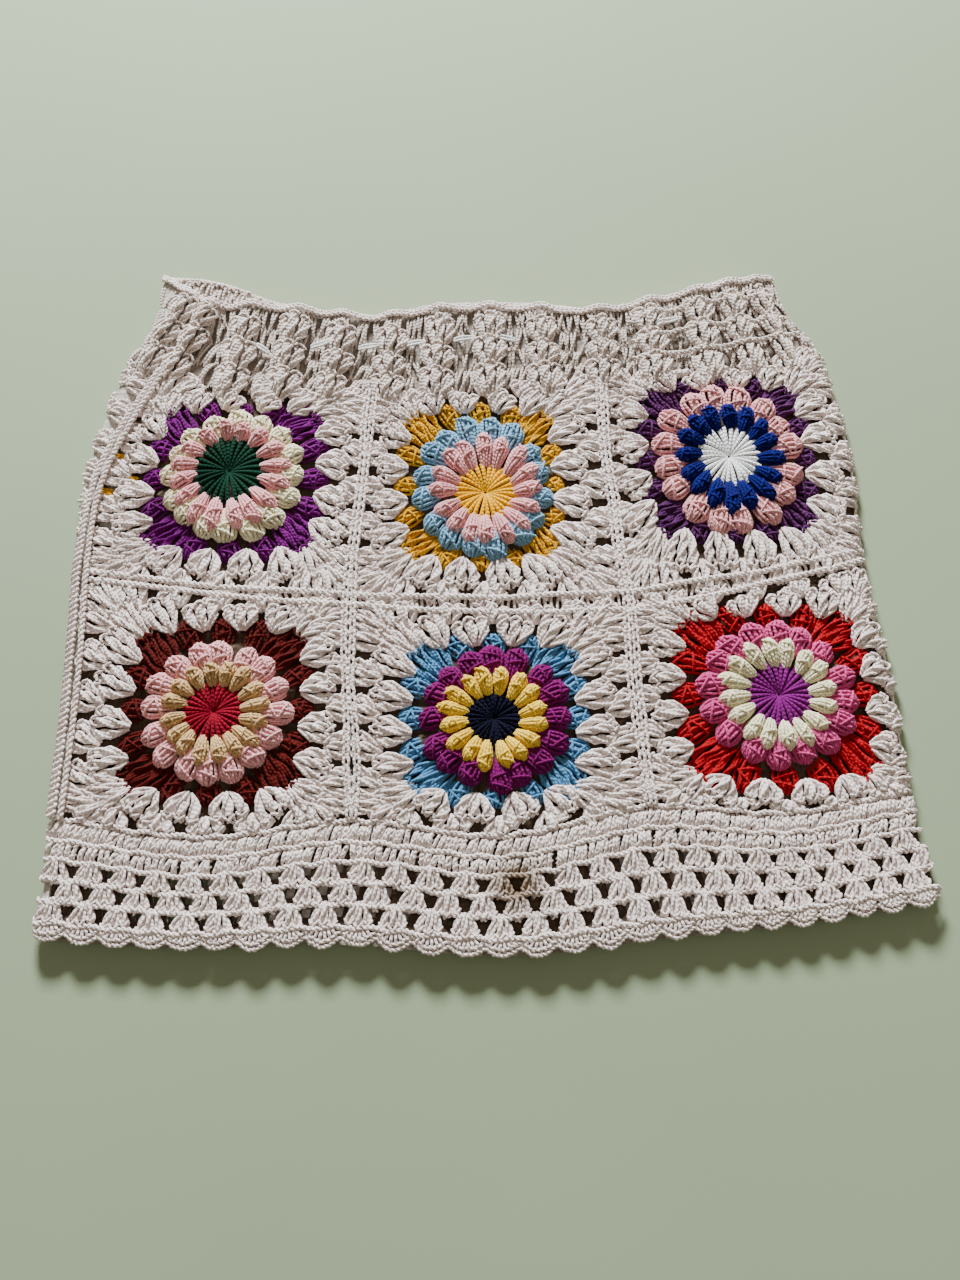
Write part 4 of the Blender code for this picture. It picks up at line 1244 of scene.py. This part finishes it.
class SKIRT_OT_waistband(bpy.types.Operator):
    """Works the gathered waistband, its chain edge and the elastic thread"""

    bl_idname = "skirt.waistband"
    bl_label = "Waistband"

    def execute(self, context):
        rng = np.random.default_rng(settings().seed + 4)
        plain = Yarn()
        for low, high in TREBLE_ROWS:
            for k in range(-2, 100):
                u = (k + rng.uniform(-0.4, 0.4)) / 98.0 * 3.0
                a = plan(u, low + rng.uniform(-1.5, 1.5))
                b = plan(u + rng.uniform(-0.03, 0.045), high + rng.uniform(-1.5, 1.0))
                for side in (-1.3, 1.3):
                    start = (float(a[0]) + side, float(a[1]), -1.7 + rng.uniform(-0.4, 0.4))
                    stop = (float(b[0]) - side, float(b[1]), -1.5)
                    rise = 1.9 + rng.uniform(-0.8, 0.8)
                    plain.strand(arc(start, stop, rise, side * 0.5, 5), taper(5, 0.98, 0.8))
        plain.make("waistband_front", "waistband_trebles", fold_shade_yarn())

        def across(rim_x, low_x, v):
            """Where a rib's line crosses the row at v."""
            u = np.linspace(-0.05, 3.05, 60)
            x, y = plan(u, v)
            wanted = low_x + rib_part(y) * (rim_x - low_x)
            best = int(np.argmin(np.abs(x - wanted)))
            return float(wanted[best]), float(np.interp(wanted[best], x, y))

        yarn = Yarn()
        for rib in RIBS:
            slip = rng.uniform(-3.0, 3.0)
            for low, high in RIB_ROWS:
                base = across(rib.rim_x, rib.low_x, low + slip)
                top = across(rib.rim_x, rib.low_x, high + slip)
                base = (base[0] + rng.uniform(-2.0, 2.0), base[1])
                full = rib.half_width * rng.uniform(1.45, 1.8)
                bundle(yarn, base, top, full * 0.30, full, rng, 7.4, -1.6, 1.0, 3, 3)
        yarn.make("waistband_front", "waistband_groups", waist_shade_yarn())

        rows = Yarn()
        u = np.linspace(2.15, 2.96, 60)
        for v in WAIST_CHAINS:
            x, y = plan(u, v)
            twist(rows, np.stack([x, y + rng.uniform(-0.8, 0.8, 60)], 1), 2.2, 3.4, 7.0, 0.95)
        rows.make("waistband_front", "waistband_row_chains", waist_shade_yarn())

        edge = Yarn()
        u = np.linspace(0.0, 3.0, 160)
        x, y = plan(u, RIM - 0.5)
        y = y + rng.uniform(-0.35, 0.35, 160)
        twist(edge, np.stack([x, y], 1), 1.6, 0.5, 6.0, 0.9)
        twist(edge, np.stack([x, y - 2.4], 1), 1.6, 1.3, 7.0, 0.8)
        edge.make("waistband_front", "waistband_rim_chain", ground_yarn())

        inside = Yarn()
        u = np.linspace(0.0, 3.0, 56)
        front = plan(u, RIM)[1]
        x, y = plan(u, RIM, BACK_RIM)
        for k in range(len(u) - 1):
            if y[k] < front[k] + 1.5:
                continue
            foot = (x[k], front[k] - 3.0)
            bundle(inside, foot, (x[k], y[k] - 0.6), 4.6, 8.0, rng, 2.9, -0.6, 0.9, 2, 2)
        twist(inside, np.stack([x, y - 1.0 + rng.uniform(-0.3, 0.3, 56)], 1), 2.0, 0.9, 6.0, 0.95)
        inside.make("waistband_back", "waistband_back_inside", waist_shade_yarn(), place=lay_inside)

        thread = Yarn()
        for start, stop in THREAD_SHOWS:
            for side in (-0.8, 0.8):
                a = (start[0], start[1] + side, 2.6)
                b = (stop[0], stop[1] + side * 0.4, 2.6)
                thread.strand(arc(a, b, 1.8, 0.8 * side, 7), 0.78)
        thread.make("waistband_front", "elastic_thread", dyed_yarn("white"))
        return {"FINISHED"}


class SKIRT_OT_hem_band(bpy.types.Operator):
    """Works the hem band: close rows, open rows of groups and the scalloped shell edge"""

    bl_idname = "skirt.hem_band"
    bl_label = "Hem band"

    def execute(self, context):
        rng = np.random.default_rng(settings().seed + 5)
        yarn = Yarn()

        def spot(s, v):
            """A point at share s of the way across."""
            x, y = plan(s * 3.0, v)
            return float(x), float(y)

        def post(s, low, high, lean, rise, strand):
            """A treble: two strands side by side, with two slanting wraps over them."""
            a = spot(s - lean, low)
            b = spot(s + lean, high)
            for side in (-0.9, 0.9):
                start = (a[0] + side, a[1], -1.1)
                stop = (b[0] + side * 0.7, b[1] + rng.uniform(-0.6, 0.6), -0.7)
                bow = rise + rng.uniform(-0.8, 0.8)
                yarn.strand(arc(start, stop, bow, rng.uniform(-0.7, 0.7), 5), taper(5, strand, 0.7))
            for part in (0.36, 0.7):
                part = part + rng.uniform(-0.1, 0.1)
                x = a[0] + (b[0] - a[0]) * part
                y = a[1] + (b[1] - a[1]) * part
                tilt = rng.uniform(0.6, 2.0)
                wrap = arc((x - 1.5, y - tilt, 0.3), (x + 1.5, y + tilt, 0.3), rise * 0.72, 0.0, 4)
                yarn.strand(wrap, strand * 0.72)

        posts = HEM_PERIODS * FIRST_ROW_POSTS
        for k in range(posts + 1):
            s = (k + rng.uniform(-0.2, 0.2)) / posts
            post(s, 53.0, 64.0 + rng.uniform(-0.8, 0.8), rng.uniform(0.002, 0.0055), 3.0, 0.92)
        for k in range(HEM_PERIODS):
            for j in range(SECOND_ROW_POSTS):
                s = (k + 0.08 + 0.188 * j + rng.uniform(-0.03, 0.03)) / HEM_PERIODS
                post(s, 43.0, 53.2, rng.uniform(-0.001, 0.005), 3.1, 0.92)
        yarn.make("hem_band_front", "hem_close_rows", ground_yarn())

        open_rows = Yarn()
        for top, low, shift in OPEN_ROWS:
            for k in range(HEM_PERIODS + 1):
                s = (k + shift) / HEM_PERIODS
                if s < -0.004 or s > 1.004:
                    continue
                a = spot(s + rng.uniform(-0.0016, 0.0016), top)
                b = spot(s, low + rng.uniform(-0.6, 0.6))
                bundle(open_rows, a, b, 4.2, 15.0, rng, 4.6, -1.2, 0.95, 3, 3, TENT)
        open_rows.make("hem_band_front", "hem_open_rows", ground_yarn())

        chains = Yarn()
        for v in HEM_CHAINS:
            u = np.linspace(0.0, 3.0, 200)
            x, y = plan(u, v)
            wave = 0.7 * np.sin(u * 2.0 * math.pi * HEM_PERIODS / 3.0 + v)
            y = y + wave + rng.uniform(-0.5, 0.5, 200)
            twist(chains, np.stack([x, y], 1), 1.8, 1.9, 6.0, 0.88)
        chains.make("hem_band_front", "hem_row_chains", ground_yarn())

        shells = Yarn()
        drop = rng.uniform(-1.5, 1.2, HEM_PERIODS + 2)
        for k in range(HEM_PERIODS):
            s = (k + SHELL_PHASE) / HEM_PERIODS
            a = spot(s, 10.5)
            for j in range(6):
                fan = (j - 2.5) / 2.5
                b = spot(s + fan * 0.42 / HEM_PERIODS, 2.4 + 2.6 * fan * fan + drop[k] * 0.5)
                points = arc((a[0] + fan * 2.4, a[1], -0.5), (b[0], b[1], -0.2), 2.0, fan * 0.5, 5)
                shells.strand(points, taper(5, 0.95, 0.7))
        edge = []
        for f in np.linspace(0.0, HEM_PERIODS, HEM_PERIODS * 12 + 1):
            inside = abs(((f - SHELL_PHASE + 0.5) % 1.0) * 2.0 - 1.0)
            sag = max(drop[int(f - SHELL_PHASE + 1.5)], -0.6) * (1.0 - inside)
            edge.append(spot(f / HEM_PERIODS, 1.3 + 5.0 * inside**2.0 + sag))
        edge = [(x, y + rng.uniform(-0.5, 0.5)) for x, y in edge]
        twist(shells, edge, 1.5, 0.2, 5.0, 0.85)
        second = [(x, y + 2.6 + rng.uniform(-0.4, 0.4)) for x, y in edge]
        twist(shells, second, 1.1, 1.0, 6.8, 0.8)
        shells.make("hem_band_front", "hem_shell_edge", ground_yarn())
        return {"FINISHED"}


class SKIRT_OT_declare_cloth(bpy.types.Operator):
    """Does nothing and returns at once"""

    bl_idname = "skirt.declare_cloth"
    bl_label = "State the cloth"

    def execute(self, context):
        return {"FINISHED"}


class SKIRT_OT_stage(bpy.types.Operator):
    """Sets the pale floor, the soft light and the camera"""

    bl_idname = "skirt.stage"
    bl_label = "Floor, light and camera"

    def execute(self, context):
        scene = context.scene
        mesh = bpy.data.meshes.new("floor")
        half = FLOOR_HALF
        corners = [(-half, -half, 0), (half, -half, 0), (half, half, 0), (-half, half, 0)]
        mesh.from_pydata(corners, [], [(0, 1, 2, 3)])
        floor = bpy.data.objects.new("floor", mesh)
        scene.collection.objects.link(floor)
        material, tree, shader = new_material("pale sage matt table top")
        spot = add(tree, "ShaderNodeTexCoord").outputs["Object"]
        cloud = add(tree, "ShaderNodeTexNoise", Vector=spot, Scale=6.0, Detail=2.0)
        tone = mixed(tree, "MIX", cloud.outputs["Fac"], *map(linear, FLOOR_TONES))
        tree.links.new(tone, shader.inputs["Base Color"])
        preset(shader, Roughness=0.85)
        mesh.materials.append(material)

        world = scene.world or bpy.data.worlds.new("World")
        scene.world = world
        world.use_nodes = True
        sky = world.node_tree.nodes["Background"]
        preset(sky, Color=linear(SKY_COLOUR), Strength=SKY_STRENGTH)

        for lamp in LAMPS:
            data = bpy.data.lights.new(lamp.name, "AREA")
            data.shape = "RECTANGLE"
            data.size, data.size_y = lamp.size
            data.energy = lamp.power
            data.color = linear(lamp.colour)[:3]
            thing = bpy.data.objects.new(lamp.name, data)
            thing.location = lamp.place
            thing.rotation_euler = (-Vector(lamp.place)).to_track_quat("-Z", "Y").to_euler()
            scene.collection.objects.link(thing)

        camera_data = bpy.data.cameras.new("camera")
        camera = bpy.data.objects.new("camera", camera_data)
        scene.collection.objects.link(camera)
        tilt = math.radians(CAMERA_TILT)
        aim_x = CENTRE_SHIFT[0] * MM
        aim_y = (CAMERA_AIM_Y + CENTRE_SHIFT[1]) * MM
        back = CAMERA_DISTANCE * math.sin(tilt)
        up = CAMERA_DISTANCE * math.cos(tilt)
        camera.location = (aim_x, aim_y - back, CAMERA_AIM_Z + up)
        camera.rotation_euler = (tilt, 0.0, 0.0)
        camera_data.sensor_width = SENSOR
        camera_data.lens = SENSOR * FOCAL_PIXELS / PICTURE_HEIGHT
        camera_data.clip_start = 0.01
        camera_data.clip_end = 50.0
        camera_data.dof.use_dof = False
        scene.camera = camera
        return {"FINISHED"}


class SKIRT_PT_panel(bpy.types.Panel):
    """Lists the steps that work the skirt"""

    bl_idname = "SKIRT_PT_panel"
    bl_label = "Crochet skirt"
    bl_space_type = "VIEW_3D"
    bl_region_type = "UI"
    bl_category = "Skirt"

    def draw(self, context):
        column = self.layout.column(align=True)
        for name in ("strand_radius", "petal_fill", "petals", "off_white", "seed"):
            column.prop(context.scene.skirt, name)
        for step in STEPS:
            self.layout.operator(step.bl_idname)


STEPS = (
    SKIRT_OT_base_cloth,
    SKIRT_OT_flowers,
    SKIRT_OT_coloured_rounds,
    SKIRT_OT_white_rounds,
    SKIRT_OT_seam_cords,
    SKIRT_OT_left_strip,
    SKIRT_OT_waistband,
    SKIRT_OT_hem_band,
    SKIRT_OT_declare_cloth,
    SKIRT_OT_stage,
)
CLASSES = (SkirtSettings,) + STEPS + (SKIRT_PT_panel,)


def register():
    for item in CLASSES:
        bpy.utils.register_class(item)
    bpy.types.Scene.skirt = PointerProperty(type=SkirtSettings)


def unregister():
    del bpy.types.Scene.skirt
    for item in reversed(CLASSES):
        bpy.utils.unregister_class(item)


def main():
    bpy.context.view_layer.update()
    register()
    for step in STEPS:
        group_name, name = step.bl_idname.split(".")
        getattr(getattr(bpy.ops, group_name), name)()
    bpy.context.view_layer.update()


if __name__ == "__main__":
    main()
